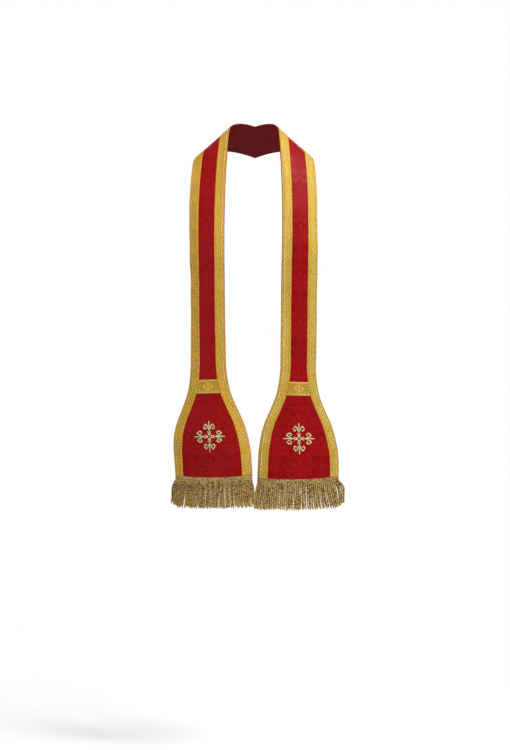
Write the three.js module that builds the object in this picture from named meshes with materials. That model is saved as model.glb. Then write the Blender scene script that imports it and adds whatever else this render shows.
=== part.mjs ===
// A Roman stole, worn: a narrow lined band of damask that lies round the back of the neck, turns
// over both shoulders and hangs down the front to two spade-shaped ends with crosses and fringe.
//
// Millimetres. +Z is up and the wearer faces -Y, so the wearer's left is +X. The origin is at the
// nape: the middle of the centre-back seam, on the side that touches the wearer.
//
// Each half is cut flat and then folded. "Along" is the distance from the nape down the middle of
// the band, and "across" is the distance from that middle, positive towards the shoulder. The
// folds turn the flat band about rulings that cross it at a skew, so its length stays true. Below
// the chest it hangs, bowed across its width and turned a little outwards.

import * as THREE from 'three';
import { mergeVertices } from 'three/addons/utils/BufferGeometryUtils.js';
import { TessellateModifier } from 'three/addons/modifiers/TessellateModifier.js';

// ---- The cut ----
const BAND_HALF = 42.5;          // half the width of the plain band
const CLOTH_LENGTH = 971;        // nape to the bottom edge of the cloth
const HEADING_HEIGHT = 17;       // woven head of the fringe, over the bottom edge
const HEM = CLOTH_LENGTH - HEADING_HEIGHT;
const HEM_DIP = 4;               // the hem line is lower at the middle than at its corners
const SPADE_FLARE = 265;         // height above the hem at which the band starts to widen

// Half the width of the spade at a height above the hem.
const SPADE = [
  { above: 0, half: 98.5 },
  { above: 50, half: 96.5 },
  { above: 94, half: 89.5 },
  { above: 127, half: 80 },
  { above: 160, half: 65.5 },
  { above: 200, half: 50.5 },
  { above: 240, half: 44 },
  { above: SPADE_FLARE, half: BAND_HALF },
];

// ---- The trimmings ----
const GALLOON_WIDTH = 23;        // gold braid along both edges
const BAR_TOP = HEM - 226;       // gold braid across the top of the spade
const BAR_HEIGHT = 31.5;
const CROSS_ALONG = HEM - 92;    // centre of the cross
const CROSS_REACH = 38.5;        // centre to the tip of an arm
const FRINGE_DROP = 58;          // bullion below the heading
const FRINGE_SPREAD = { inner: 5, outer: 14 };   // how far the ends of the bullion swing out
const LINING_PROUD = 0.8;        // lining that shows past the edge of the damask

// ---- The layers, as heights above the side that touches the wearer ----
const GAP = 0.3;
const LAYER = {
  lining: { low: 0, high: 1.0 },
  face: { low: 1.3, high: 2.5 },
  galloon: { low: 2.8, high: 3.9 },
  cross: { low: 2.8, high: 4.0 },
  heading: { low: 2.8, high: 5.0 },
  fringe: { low: 0.2, high: 5.7 },
};

// ---- How the two halves lie ----
const NAPE_SLOPE = 45;           // slope of the band at the nape, degrees below level
const SEAM_SKEW = -26;           // half of the mitre at the centre-back seam, degrees

// folds: each row bends the band by turn degrees over the stretch that ends at "until", about
// rulings whose skew eases to the row's own. hang: how the band lies at a place along it, out is
// the sway towards the shoulder, turn the angle outwards, bow the angle of each edge backwards, and
// tip the angle that lifts the shoulder-side edge.
const HALVES = {
  left: {
    side: 1,
    folds: [
      { until: 122, skew: 41, turn: 60, steps: 11 },   // round the neck
      { until: 164, skew: 43, turn: 56, steps: 8 },    // over the top of the shoulder
      { until: 446, skew: 0, turn: 34, steps: 12 },    // down the chest
    ],
    hang: [
      { at: 60, out: 0, turn: 0, bow: 0, tip: 0 },
      { at: 180, out: -2.5, turn: 0, bow: 0, tip: 0 },
      { at: 400, out: -1, turn: 2, bow: 9, tip: 0 },
      { at: 600, out: 5, turn: 2, bow: 12, tip: 0 },
      { at: 830, out: 14, turn: 2, bow: 13, tip: 1.2 },
      { at: HEM, out: 21, turn: 2, bow: 14, tip: 3 },
    ],
  },
  right: {
    side: -1,
    folds: [
      { until: 126, skew: 41, turn: 60, steps: 11 },
      { until: 168, skew: 45, turn: 55, steps: 8 },
      { until: 450, skew: 0, turn: 34, steps: 12 },
    ],
    hang: [
      { at: 180, out: 0, turn: 0, bow: 0, tip: 0 },
      { at: 400, out: 0, turn: 9, bow: 12, tip: 0 },
      { at: 600, out: 3, turn: 10, bow: 13, tip: 0 },
      { at: 830, out: 5, turn: 4, bow: 14, tip: 0 },
      { at: HEM, out: 3, turn: 12, bow: 16, tip: 0 },
    ],
  },
};

// ---- The mesh ----
const STATION_GAP = { band: 56, spade: 20 };   // spacing of the cross-sections below the chest
const FOLD_STEP = 2;             // length of one step when the folds are worked out
const CROSS_EDGE = 15;           // longest triangle edge on a cross
const BAND_COLUMNS = [-1, -0.6, -0.2, 0.2, 0.6, 1];   // across the damask between the braids

const COLOURS = {
  damask: 0xa8141c,
  lining: 0x8f1219,
  galloon: 0xd0a640,
  embroidery: 0xd9ce8c,
  bullion: 0x9c8149,
};

const radians = THREE.MathUtils.degToRad;

// A smooth, monotone curve through the rows of a table.
function along(rows, key, column, place) {
  const last = rows.length - 1;
  if (place <= rows[0][key]) return rows[0][column];
  if (place >= rows[last][key]) return rows[last][column];
  const rise = (i) => (rows[i + 1][column] - rows[i][column]) / (rows[i + 1][key] - rows[i][key]);
  const slope = (i) => {
    if (i === 0 || i === last || rise(i - 1) * rise(i) <= 0) return 0;
    return (2 * rise(i - 1) * rise(i)) / (rise(i - 1) + rise(i));
  };
  const i = rows.findIndex((row, n) => n < last && place <= rows[n + 1][key]);
  const width = rows[i + 1][key] - rows[i][key];
  const t = (place - rows[i][key]) / width;
  return rows[i][column] * (1 + 2 * t) * (1 - t) ** 2
    + rows[i + 1][column] * t * t * (3 - 2 * t)
    + width * (slope(i) * t * (1 - t) ** 2 + slope(i + 1) * t * t * (t - 1));
}

function halfWidth(place) {
  return along(SPADE, 'above', 'half', Math.max(HEM - place, 0));
}

// The frames of one half: at each step the middle of the band, its directions along, across and
// out of the cloth, and the skew of the ruling there.
function foldBand(half) {
  const slope = radians(NAPE_SLOPE);
  const down = new THREE.Vector3(0, Math.cos(slope), -Math.sin(slope));
  const level = new THREE.Vector3(1, 0, 0);
  const skew = radians(SEAM_SKEW);
  let frame = {
    place: 0,
    skew,
    middle: new THREE.Vector3(GAP / 2, 0, 0),
    run: down.clone().multiplyScalar(Math.sin(skew)).addScaledVector(level, Math.cos(skew)),
    wide: down.clone().multiplyScalar(Math.cos(skew)).addScaledVector(level, -Math.sin(skew)),
    out: new THREE.Vector3(0, Math.sin(slope), Math.cos(slope)),
  };
  const frames = [frame];
  for (const fold of half.folds) {
    const start = frame;
    const count = Math.round((fold.until - start.place) / FOLD_STEP);
    const length = (fold.until - start.place) / count;
    for (let step = 1; step <= count; step++) {
      const skewAt = (t) => THREE.MathUtils.lerp(start.skew, radians(fold.skew), t / count);
      const bend = skewAt(step - 0.5);
      const ruling = frame.run.clone().multiplyScalar(Math.sin(bend));
      ruling.addScaledVector(frame.wide, Math.cos(bend));
      const turned = (v) => v.clone().applyAxisAngle(ruling, radians(fold.turn) / count);
      const run = turned(frame.run);
      frame = {
        place: start.place + step * length,
        skew: skewAt(step),
        middle: frame.middle.clone().addScaledVector(frame.run, length / 2)
          .addScaledVector(run, length / 2),
        run,
        wide: turned(frame.wide),
        out: turned(frame.out),
      };
      frames.push(frame);
    }
  }
  return frames;
}

// The frame at a place along the band. Below the last fold the band runs on straight.
function frameAt(frames, place) {
  const last = frames[frames.length - 1];
  if (place >= last.place) {
    return { ...last, middle: last.middle.clone().addScaledVector(last.run, place - last.place) };
  }
  const next = frames.findIndex((f) => f.place > place);
  const a = frames[next - 1];
  const b = frames[next];
  const t = (place - a.place) / (b.place - a.place);
  return {
    skew: THREE.MathUtils.lerp(a.skew, b.skew, t),
    middle: a.middle.clone().lerp(b.middle, t),
    run: a.run.clone().lerp(b.run, t).normalize(),
    wide: a.wide.clone().lerp(b.wide, t).normalize(),
    out: a.out.clone().lerp(b.out, t).normalize(),
  };
}

// The cloth surface of one half: where a point of the flat cut lies when worn, height above the
// side that touches the wearer.
function clothSurface(half) {
  const frames = foldBand(half);
  return (place, across, height) => {
    const frame = frameAt(frames, place);
    const sway = along(half.hang, 'at', 'out', place);
    const turn = radians(along(half.hang, 'at', 'turn', place));
    const bow = radians(along(half.hang, 'at', 'bow', place));
    const tip = radians(along(half.hang, 'at', 'tip', place));
    const ruling = frame.wide.clone().addScaledVector(frame.run, Math.tan(frame.skew));
    const offset = new THREE.Vector3();
    if (bow > 0) {
      const radius = halfWidth(place) / bow;
      const angle = across / radius;
      offset.addScaledVector(ruling, radius * Math.sin(angle) + height * Math.sin(angle));
      offset.addScaledVector(frame.out, height * Math.cos(angle) - radius * (1 - Math.cos(angle)));
    } else {
      offset.addScaledVector(ruling, across).addScaledVector(frame.out, height);
    }
    offset.applyAxisAngle(new THREE.Vector3(0, -1, 0), tip);
    offset.applyAxisAngle(new THREE.Vector3(0, 0, 1), turn);
    const point = frame.middle.clone().add(offset);
    point.x += sway;
    point.x *= half.side;
    return point;
  };
}

// A closed body between two heights over a grid of the flat cut. Each row is a list of
// [along, across], and all rows have the same length.
function clothBody(surface, rows, layer, side) {
  const wide = rows[0].length;
  const positions = [];
  for (const height of [layer.low, layer.high]) {
    for (const row of rows) {
      for (const [place, across] of row) {
        positions.push(...surface(place, across, height).toArray());
      }
    }
  }
  const vertex = (level, row, column) => level * rows.length * wide + row * wide + column;
  const index = [];
  const quad = (a, b, c, d) => {
    if (side > 0) index.push(a, b, c, a, c, d);
    else index.push(a, c, b, a, d, c);
  };
  const bottomRow = rows.length - 1;
  const lastColumn = wide - 1;
  for (let r = 0; r < bottomRow; r++) {
    for (let c = 0; c < lastColumn; c++) {
      quad(vertex(1, r, c), vertex(1, r + 1, c), vertex(1, r + 1, c + 1), vertex(1, r, c + 1));
      quad(vertex(0, r, c), vertex(0, r, c + 1), vertex(0, r + 1, c + 1), vertex(0, r + 1, c));
    }
    quad(vertex(0, r, 0), vertex(0, r + 1, 0), vertex(1, r + 1, 0), vertex(1, r, 0));
    quad(vertex(1, r, lastColumn), vertex(1, r + 1, lastColumn),
      vertex(0, r + 1, lastColumn), vertex(0, r, lastColumn));
  }
  for (let c = 0; c < lastColumn; c++) {
    quad(vertex(1, 0, c), vertex(1, 0, c + 1), vertex(0, 0, c + 1), vertex(0, 0, c));
    quad(vertex(0, bottomRow, c), vertex(0, bottomRow, c + 1),
      vertex(1, bottomRow, c + 1), vertex(1, bottomRow, c));
  }
  const geometry = new THREE.BufferGeometry();
  geometry.setAttribute('position', new THREE.Float32BufferAttribute(positions, 3));
  geometry.setIndex(index);
  return geometry;
}

// The places along the band that get a cross-section, from one place to another.
function stations(half, from, to) {
  const places = [0];
  for (const fold of half.folds) {
    const start = places[places.length - 1];
    for (let i = 1; i <= fold.steps; i++) {
      places.push(start + ((fold.until - start) * i) / fold.steps);
    }
  }
  const evenly = (until, gap) => {
    const start = places[places.length - 1];
    const count = Math.ceil((until - start) / gap);
    for (let i = 1; i <= count; i++) places.push(start + ((until - start) * i) / count);
  };
  evenly(HEM - SPADE_FLARE, STATION_GAP.band);
  for (const until of [BAR_TOP, BAR_TOP + BAR_HEIGHT, HEM, CLOTH_LENGTH]) {
    evenly(until, STATION_GAP.spade);
  }
  const inside = places.filter((place) => place > from + 1 && place < to - 1);
  return [from, ...inside, to];
}

// A cross-section is lower at its middle the nearer it is to the hem. share runs from -1 to 1.
function dip(place, share) {
  const near = THREE.MathUtils.smoothstep(place, HEM - SPADE_FLARE, HEM);
  return place + HEM_DIP * near * (1 - share * share);
}

function gridRow(place, acrosses) {
  const half = halfWidth(place);
  return acrosses(half).map((across) => [dip(place, across / half), across]);
}

function panelColumns(half, proud) {
  const inner = half - GALLOON_WIDTH;
  return [-half - proud, ...BAND_COLUMNS.map((share) => share * inner), half + proud];
}

function panel(half, surface, layer, proud) {
  const rows = stations(half, 0, CLOTH_LENGTH)
    .map((place) => gridRow(place, (h) => panelColumns(h, proud)));
  return clothBody(surface, rows, layer, half.side);
}

function galloon(half, surface, edge) {
  const columns = (h) => {
    const pair = [h - GALLOON_WIDTH, h];
    return edge > 0 ? pair : [-pair[1], -pair[0]];
  };
  const rows = stations(half, 0, HEM - GAP).map((place) => gridRow(place, columns));
  return clothBody(surface, rows, LAYER.galloon, half.side);
}

function crossbar(half, surface) {
  const columns = (h) => {
    const inner = h - GALLOON_WIDTH;
    const shares = BAND_COLUMNS.slice(1, -1);
    return [-inner + GAP, ...shares.map((share) => share * inner), inner - GAP];
  };
  const rows = stations(half, BAR_TOP, BAR_TOP + BAR_HEIGHT)
    .map((place) => gridRow(place, columns));
  return clothBody(surface, rows, LAYER.galloon, half.side);
}

function fringeHeading(half, surface) {
  const rows = [HEM, CLOTH_LENGTH].map((place) => gridRow(place, (h) => panelColumns(h, 0)));
  return clothBody(surface, rows, LAYER.heading, half.side);
}

function fringe(half, surface) {
  const top = CLOTH_LENGTH + GAP;
  const hemHalf = halfWidth(HEM);
  const rows = [0, 0.4, 1].map((share) => panelColumns(hemHalf, 0).map((across) => {
    const spread = across < 0 ? FRINGE_SPREAD.inner : FRINGE_SPREAD.outer;
    const place = dip(top + FRINGE_DROP * share, across / hemHalf);
    return [place, across * (1 + (share * spread) / hemHalf)];
  }));
  return clothBody(surface, rows, LAYER.fringe, half.side);
}

// Half of one arm of the cross, from the centre to its tip: [sideways, outwards] in shares of the
// reach. A leaf stands out low on the arm, and a round scroll below the pointed tip.
function halfArm() {
  const leaf = [[0.05, 0.12], [0.14, 0.25], [0.13, 0.31], [0.05, 0.27], [0.05, 0.45]];
  const scroll = { side: 0.22, out: 0.64, radius: 0.165, from: 225, to: 480, steps: 8 };
  const points = [...leaf];
  for (let i = 0; i <= scroll.steps; i++) {
    const angle = radians(scroll.from + ((scroll.to - scroll.from) * i) / scroll.steps);
    points.push([
      scroll.side + scroll.radius * Math.cos(angle),
      scroll.out + scroll.radius * Math.sin(angle),
    ]);
  }
  points.push([0.035, 0.86]);
  return points;
}

function crossOutline() {
  const half = halfArm();
  const mirrored = half.map(([x, y]) => [-x, y]).reverse();
  const arm = [...half, [0, 1], ...mirrored];
  const centre = new THREE.Vector2();
  const outline = [];
  for (let quarter = 0; quarter < 4; quarter++) {
    for (const [x, y] of arm) {
      const point = new THREE.Vector2(x, y).multiplyScalar(CROSS_REACH);
      outline.push(point.rotateAround(centre, (quarter * Math.PI) / 2));
    }
  }
  return outline;
}

// The cross is an extruded outline whose points are then laid on the spade.
function cross(half, surface) {
  const thickness = LAYER.cross.high - LAYER.cross.low;
  const flat = new THREE.ExtrudeGeometry(new THREE.Shape(crossOutline()),
    { depth: thickness, steps: 1, bevelEnabled: false });
  const fine = new TessellateModifier(CROSS_EDGE, 6).modify(flat);
  fine.deleteAttribute('normal');
  fine.deleteAttribute('uv');
  const geometry = mergeVertices(fine, 1e-4);
  const position = geometry.getAttribute('position');
  for (let i = 0; i < position.count; i++) {
    const place = CROSS_ALONG - position.getY(i);
    const across = half.side * position.getX(i);
    const point = surface(place, across, LAYER.cross.low + position.getZ(i));
    position.setXYZ(i, point.x, point.y, point.z);
  }
  return geometry;
}

function addPiece(stole, name, geometry, colour, roughness, metalness = 0) {
  geometry.computeVertexNormals();
  const material = new THREE.MeshStandardMaterial({ color: colour, roughness, metalness });
  const mesh = new THREE.Mesh(geometry, material);
  mesh.name = name;
  stole.add(mesh);
}

const stole = new THREE.Group();
for (const [name, half] of Object.entries(HALVES)) {
  const surface = clothSurface(half);
  addPiece(stole, `face_${name}`, panel(half, surface, LAYER.face, 0), COLOURS.damask, 0.6);
  addPiece(stole, `lining_${name}`, panel(half, surface, LAYER.lining, LINING_PROUD),
    COLOURS.lining, 0.5);
  addPiece(stole, `galloon_outer_${name}`, galloon(half, surface, 1), COLOURS.galloon, 0.4, 0.5);
  addPiece(stole, `galloon_inner_${name}`, galloon(half, surface, -1), COLOURS.galloon, 0.4, 0.5);
  addPiece(stole, `crossbar_${name}`, crossbar(half, surface), COLOURS.galloon, 0.4, 0.5);
  addPiece(stole, `cross_${name}`, cross(half, surface), COLOURS.embroidery, 0.45, 0.3);
  addPiece(stole, `fringe_heading_${name}`, fringeHeading(half, surface), COLOURS.bullion, 0.5, 0.4);
  addPiece(stole, `fringe_${name}`, fringe(half, surface), COLOURS.bullion, 0.5, 0.4);
}

export default stole;
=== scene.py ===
"""The looks of a Roman stole as it is worn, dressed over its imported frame.

The stole is a narrow lined band of red damask.  It lies round the back of the neck, turns over
both shoulders and hangs down the front to two spade-shaped ends.  Gold braid edges it, and each
end carries a braid bar, an embroidered cross and a bullion fringe.

Metres.  +Z is up and the wearer faces -Y, so the wearer's left is +X.  Each half is worked out on
its flat cut: "along" is the distance from the nape down the middle of the band, and "across" is
the distance from that middle, positive towards the shoulder.
"""

import logging
import math
from dataclasses import dataclass
from enum import Enum
from functools import cached_property, partialmethod

import bpy
import numpy as np
from bpy.types import ID, Material, Node, NodeSocket, NodeTree, Object
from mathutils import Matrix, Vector

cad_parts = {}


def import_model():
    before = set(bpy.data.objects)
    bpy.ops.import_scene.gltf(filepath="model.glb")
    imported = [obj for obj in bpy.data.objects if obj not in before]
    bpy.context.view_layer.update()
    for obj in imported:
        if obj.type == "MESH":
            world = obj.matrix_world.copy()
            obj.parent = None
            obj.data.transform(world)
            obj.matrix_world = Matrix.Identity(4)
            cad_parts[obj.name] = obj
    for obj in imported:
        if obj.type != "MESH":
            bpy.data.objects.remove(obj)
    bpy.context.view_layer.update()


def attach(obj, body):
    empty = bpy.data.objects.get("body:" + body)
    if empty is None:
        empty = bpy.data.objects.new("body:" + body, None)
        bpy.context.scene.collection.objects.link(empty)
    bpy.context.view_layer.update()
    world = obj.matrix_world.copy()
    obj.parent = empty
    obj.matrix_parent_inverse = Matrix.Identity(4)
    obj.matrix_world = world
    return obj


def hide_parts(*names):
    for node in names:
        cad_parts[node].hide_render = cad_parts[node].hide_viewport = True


LOG = logging.getLogger("stole")
MM = 0.001
BODY = "root"
# Point attributes that the finishes read: flat coordinates, and how far from a cord's groove.
FLAT = "flat"
GROOVE = "groove"
Array = np.ndarray
Triple = tuple[float, float, float]
Colour = Triple


# The cut, and how it lies when worn
# ----------------------------------


def smoothstep(low: float, high: float, value: Array) -> Array:
    """A value eased from 0 at low to 1 at high."""
    share = np.clip((value - low) / (high - low), 0.0, 1.0)
    return share * share * (3.0 - 2.0 * share)


def unit(vector: Array) -> Array:
    """Vectors drawn out or in to a length of one."""
    return vector / np.linalg.norm(vector, axis=-1, keepdims=True)


def cubic(share: Array, width: Array, values: tuple[Array, Array], slopes: tuple[Array, Array]) -> Array:
    """A smooth passage between two values, each with its slope.

    Args:
        share: how far along it, from 0 to 1.
        width: how wide it is.
        values: what it starts and ends at.
        slopes: how steeply it leaves the first and meets the second.

    Returns:
        The value at each share.
    """
    back = 1 - share
    level = values[0] * (1 + 2 * share) * back ** 2 + values[1] * share * share * (3 - 2 * share)
    return level + width * (slopes[0] * share * back ** 2 + slopes[1] * share * share * (share - 1))


@dataclass(frozen=True)
class Curve:
    """A smooth curve through the rows of a short table, which never overshoots them."""

    places: tuple[float, ...]
    values: tuple[float, ...]

    def at(self, place: Array) -> Array:
        """The curve's values.

        Args:
            place: where they are wanted, in the table's own places.

        Returns:
            One value for each place.
        """
        x = np.asarray(self.places, float)
        y = np.asarray(self.values, float)
        width = np.diff(x)
        rise = np.diff(y) / width
        product = rise[:-1] * rise[1:]
        total = rise[:-1] + rise[1:]
        total[total == 0] = 1.0
        slope = np.zeros_like(y)
        slope[1:-1] = np.where(product > 0, 2.0 * product / total, 0.0)
        inside = np.clip(np.asarray(place, float), x[0], x[-1])
        i = np.clip(np.searchsorted(x, inside, side="right") - 1, 0, len(x) - 2)
        share = (inside - x[i]) / width[i]
        return cubic(share, width[i], (y[i], y[i + 1]), (slope[i], slope[i + 1]))


@dataclass(frozen=True)
class Cut:
    """The flat cut of one half and the widths of its trimmings."""

    length: float = 0.971
    heading: float = 0.017
    dip: float = 0.004
    flare: float = 0.265
    braid: float = 0.023
    bar_height: float = 0.0315
    bar_above_hem: float = 0.226
    cross_above_hem: float = 0.092
    fringe: float = 0.058
    gap: float = 0.3 * MM
    spade: Curve = Curve(
        (0.0, 0.050, 0.094, 0.127, 0.160, 0.200, 0.240, 0.265),
        (0.0985, 0.0965, 0.0895, 0.080, 0.0655, 0.0505, 0.044, 0.0425),
    )

    @property
    def hem(self) -> float:
        """Where the cloth ends and the head of the fringe begins."""
        return self.length - self.heading

    @property
    def bar(self) -> float:
        """Where the bar of braid begins, across the top of the spade."""
        return self.hem - self.bar_above_hem

    @property
    def cross(self) -> float:
        """Where the centre of the cross lies."""
        return self.hem - self.cross_above_hem

    def half_width(self, place: Array) -> Array:
        """Half the width of the cut at a place along it."""
        return self.spade.at(np.maximum(self.hem - np.asarray(place, float), 0.0))

    def dipped(self, place: Array, across: Array, proud: float = 0.0) -> Array:
        """Places along the cut, lower at the middle of a row than at its ends, near the hem.

        Args:
            place: distance along the band from the nape.
            across: distance from the middle of the band.
            proud: how far the row reaches past the edge of the cut.

        Returns:
            The places of the points of the dipped row.
        """
        share = np.clip(across / (self.half_width(place) + proud), -1.0, 1.0)
        near = smoothstep(self.hem - self.flare, self.hem, place)
        return place + self.dip * near * (1.0 - share * share)

    def area(self, rows: int = 400) -> float:
        """The flat area of the cut, in square metres, added up from rows across it."""
        places = np.linspace(0.0, self.length, rows)
        return float(np.trapz(2.0 * self.half_width(places), places))


@dataclass(frozen=True)
class Layer:
    """A layer of the made-up stole, as heights above the side that touches the wearer."""

    low: float
    high: float


LINING = Layer(0.0, 1.0 * MM)
FACE = Layer(1.3 * MM, 2.5 * MM)
BRAID = Layer(2.8 * MM, 3.9 * MM)
HEADING = Layer(2.8 * MM, 5.0 * MM)
FRINGE = Layer(0.2 * MM, 5.7 * MM)


@dataclass(frozen=True)
class Fold:
    """A stretch of the band that bends by a turn about rulings that cross it at a skew."""

    until: float
    skew: float
    turn: float


@dataclass(frozen=True)
class Dent:
    """A soft hollow or swelling in the cloth."""

    place: float
    across: float
    reach: float
    width: float
    height: float


@dataclass(frozen=True)
class Ripple:
    """A long wave in the worn cloth, which grows from the middle of the band to its edges."""

    height: float
    length: float
    lag: float
    power: int


RIPPLES = (
    Ripple(1.3 * MM, 0.43, 1.0, 1),
    Ripple(0.9 * MM, 0.21, 2.3, 2),
    Ripple(0.35 * MM, 0.083, 4.1, 2),
)


@dataclass(frozen=True)
class Half:
    """One half of the stole: its side, its folds, how it hangs and its soft unevenness."""

    name: str
    side: int
    folds: tuple[Fold, ...]
    sway: Curve
    turn: Curve
    bow: Curve
    tip: Curve
    phase: float
    flare: float
    dents: tuple[Dent, ...]


LEFT = Half(
    name="left",
    side=1,
    folds=(Fold(0.122, 41, 60), Fold(0.164, 43, 56), Fold(0.446, 0, 34)),
    sway=Curve((0.060, 0.180, 0.400, 0.600, 0.830, 0.954), (0.0, -0.0025, -0.001, 0.005, 0.014, 0.021)),
    turn=Curve((0.060, 0.180, 0.400, 0.600, 0.830, 0.954), (0, 0, 2, 2, 2, 2)),
    bow=Curve((0.060, 0.180, 0.400, 0.600, 0.830, 0.954), (0, 0, 9, 12, 13, 14)),
    tip=Curve((0.600, 0.830, 0.954), (0, 1.2, 3)),
    phase=0.6,
    flare=19.0 * MM,
    dents=(
        Dent(0.330, 0.040, 0.060, 0.030, -1.6 * MM),
        Dent(0.560, -0.038, 0.050, 0.025, -1.8 * MM),
        Dent(0.880, 0.060, 0.055, 0.040, 2.2 * MM),
        Dent(0.930, -0.050, 0.045, 0.030, -1.8 * MM),
    ),
)
RIGHT = Half(
    name="right",
    side=-1,
    folds=(Fold(0.126, 41, 60), Fold(0.168, 45, 55), Fold(0.450, 0, 34)),
    sway=Curve((0.180, 0.400, 0.600, 0.830, 0.954), (0.0, 0.0, 0.003, 0.005, 0.003)),
    turn=Curve((0.180, 0.400, 0.600, 0.830, 0.954), (0, 9, 10, 4, 12)),
    bow=Curve((0.180, 0.400, 0.600, 0.830, 0.954), (0, 12, 13, 14, 16)),
    tip=Curve((0.600, 0.954), (0, 0)),
    phase=2.9,
    flare=15.0 * MM,
    dents=(
        Dent(0.490, 0.040, 0.030, 0.022, -2.4 * MM),
        Dent(0.640, -0.036, 0.050, 0.024, -1.6 * MM),
        Dent(0.850, -0.062, 0.060, 0.036, 2.0 * MM),
        Dent(0.935, 0.040, 0.040, 0.034, -1.6 * MM),
    ),
)


class WornBand:
    """One half of the cut, laid where it lies when worn."""

    NAPE_SLOPE = 45.0
    SEAM_SKEW = -26.0
    STEP = 2.0 * MM
    SMOOTH_UNTIL = 0.20
    UNEVEN_FROM = 0.34
    LEAST_BOW = 1e-6
    PROBE = 0.5 * MM

    def __init__(self, cut: Cut, half: Half) -> None:
        """Folds the band.

        Args:
            cut: the flat cut.
            half: the half that is folded.
        """
        self.cut = cut
        self.half = half
        self.places, self.frames = self._fold()

    @staticmethod
    def _turned(vector: Array, axis: Array, angle: float) -> Array:
        """A vector turned about an axis."""
        axis = unit(axis)
        across = np.cross(axis, vector) * math.sin(angle)
        return vector * math.cos(angle) + across + axis * (axis @ vector) * (1 - math.cos(angle))

    def _fold(self) -> tuple[Array, Array]:
        """Works out the band's frames step by step.

        Returns:
            The place of each frame, and rows of its middle, run, wide, out and skew.
        """
        slope = math.radians(self.NAPE_SLOPE)
        skew = math.radians(self.SEAM_SKEW)
        down = np.array([0.0, math.cos(slope), -math.sin(slope)])
        level = np.array([1.0, 0.0, 0.0])
        middle = level * self.cut.gap / 2
        run = down * math.sin(skew) + level * math.cos(skew)
        wide = down * math.cos(skew) - level * math.sin(skew)
        out = np.array([0.0, math.sin(slope), math.cos(slope)])
        place = 0.0
        places = [place]
        rows = [np.concatenate([middle, run, wide, out, [skew]])]
        for fold in self.half.folds:
            start, first = place, skew
            count = round((fold.until - start) / self.STEP)
            length = (fold.until - start) / count
            last = math.radians(fold.skew)
            for step in range(1, count + 1):
                bend = first + (last - first) * (step - 0.5) / count
                ruling = run * math.sin(bend) + wide * math.cos(bend)
                angle = math.radians(fold.turn) / count
                turned = self._turned(run, ruling, angle)
                middle = middle + (run + turned) * length / 2
                run = turned
                wide = self._turned(wide, ruling, angle)
                out = self._turned(out, ruling, angle)
                skew = first + (last - first) * step / count
                place = start + step * length
                places.append(place)
                rows.append(np.concatenate([middle, run, wide, out, [skew]]))
        return np.array(places), np.array(rows)

    def _frame_at(self, place: Array) -> tuple[Array, Array, Array, Array, Array]:
        """The band's middle, run, wide, out and skew at each place."""
        last = self.places[-1]
        inside = np.minimum(place, last)
        columns = [np.interp(inside, self.places, column) for column in self.frames.T]
        middle, run, wide, out = (np.stack(columns[i:i + 3], axis=-1) for i in (0, 3, 6, 9))
        run, wide, out = unit(run), unit(wide), unit(out)
        middle = middle + run * np.maximum(place - last, 0.0)[..., None]
        return middle, run, wide, out, columns[12]

    def unevenness(self, place: Array, across: Array) -> Array:
        """How far the worn cloth stands out of its smooth form, which every layer shares."""
        share = across / self.cut.half_width(place)
        total = np.zeros_like(share)
        for ripple in RIPPLES:
            wave = np.sin(place * math.tau / ripple.length + ripple.lag * self.half.phase)
            total = total + ripple.height * wave * share ** ripple.power
        total = total * smoothstep(self.SMOOTH_UNTIL, self.UNEVEN_FROM, place)
        for dent in self.half.dents:
            far = ((place - dent.place) / dent.reach) ** 2 + ((across - dent.across) / dent.width) ** 2
            total = total + dent.height * np.exp(-far)
        return total

    def lay(self, place: Array, across: Array, height: Array) -> Array:
        """Where points of the flat cut lie when worn.

        Args:
            place: distance along the band from the nape.
            across: distance from the middle of the band.
            height: height above the side that touches the wearer.

        Returns:
            The points, with their three coordinates on the last axis.
        """
        place, across, height = np.broadcast_arrays(
            np.asarray(place, float), np.asarray(across, float), np.asarray(height, float)
        )
        height = height + self.unevenness(place, across)
        middle, run, wide, out, skew = self._frame_at(place)
        ruling = wide + run * np.tan(skew)[..., None]
        bow = np.maximum(np.radians(self.half.bow.at(place)), self.LEAST_BOW)
        radius = self.cut.half_width(place) / bow
        angle = across / radius
        sideways = (radius + height) * np.sin(angle)
        lift = height * np.cos(angle) - radius * (1.0 - np.cos(angle))
        offset = ruling * sideways[..., None] + out * lift[..., None]
        for second, curve in ((2, self.half.tip), (1, self.half.turn)):
            angle = np.radians(curve.at(place))
            x, other = offset[..., 0].copy(), offset[..., second].copy()
            offset[..., 0] = x * np.cos(angle) - other * np.sin(angle)
            offset[..., second] = x * np.sin(angle) + other * np.cos(angle)
        point = middle + offset
        point[..., 0] = (point[..., 0] + self.half.sway.at(place)) * self.half.side
        return point

    def row(self, place: Array, across: Array, height: float) -> tuple[Array, Array, Array, Array]:
        """A row of points laid on the worn cloth, and its directions across, along and out there."""
        return self.lay(place, across, height), *self.directions(place, across)

    def flat(self, place: Array, across: Array) -> Array:
        """The true flat coordinates of points of the cut: across it, and down from the nape."""
        skew = self._frame_at(np.asarray(place, float))[4]
        return np.stack([across, place + across * np.tan(skew)], axis=-1)

    def directions(self, place: Array, across: Array) -> tuple[Array, Array, Array]:
        """The directions across, along and out of the worn cloth.

        Args:
            place: distance along the band from the nape.
            across: distance from the middle of the band.

        Returns:
            Unit vectors across, along and out of the side that shows.
        """
        place, across = np.broadcast_arrays(np.asarray(place, float), np.asarray(across, float))
        step, height = self.PROBE, FACE.high
        wide = self.lay(place, across + step, height) - self.lay(place, across - step, height)
        run = self.lay(place + step, across, height) - self.lay(place - step, across, height)
        out = np.cross(run, wide) * self.half.side
        return unit(wide), unit(run), unit(out)


# Meshes
# ------


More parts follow.
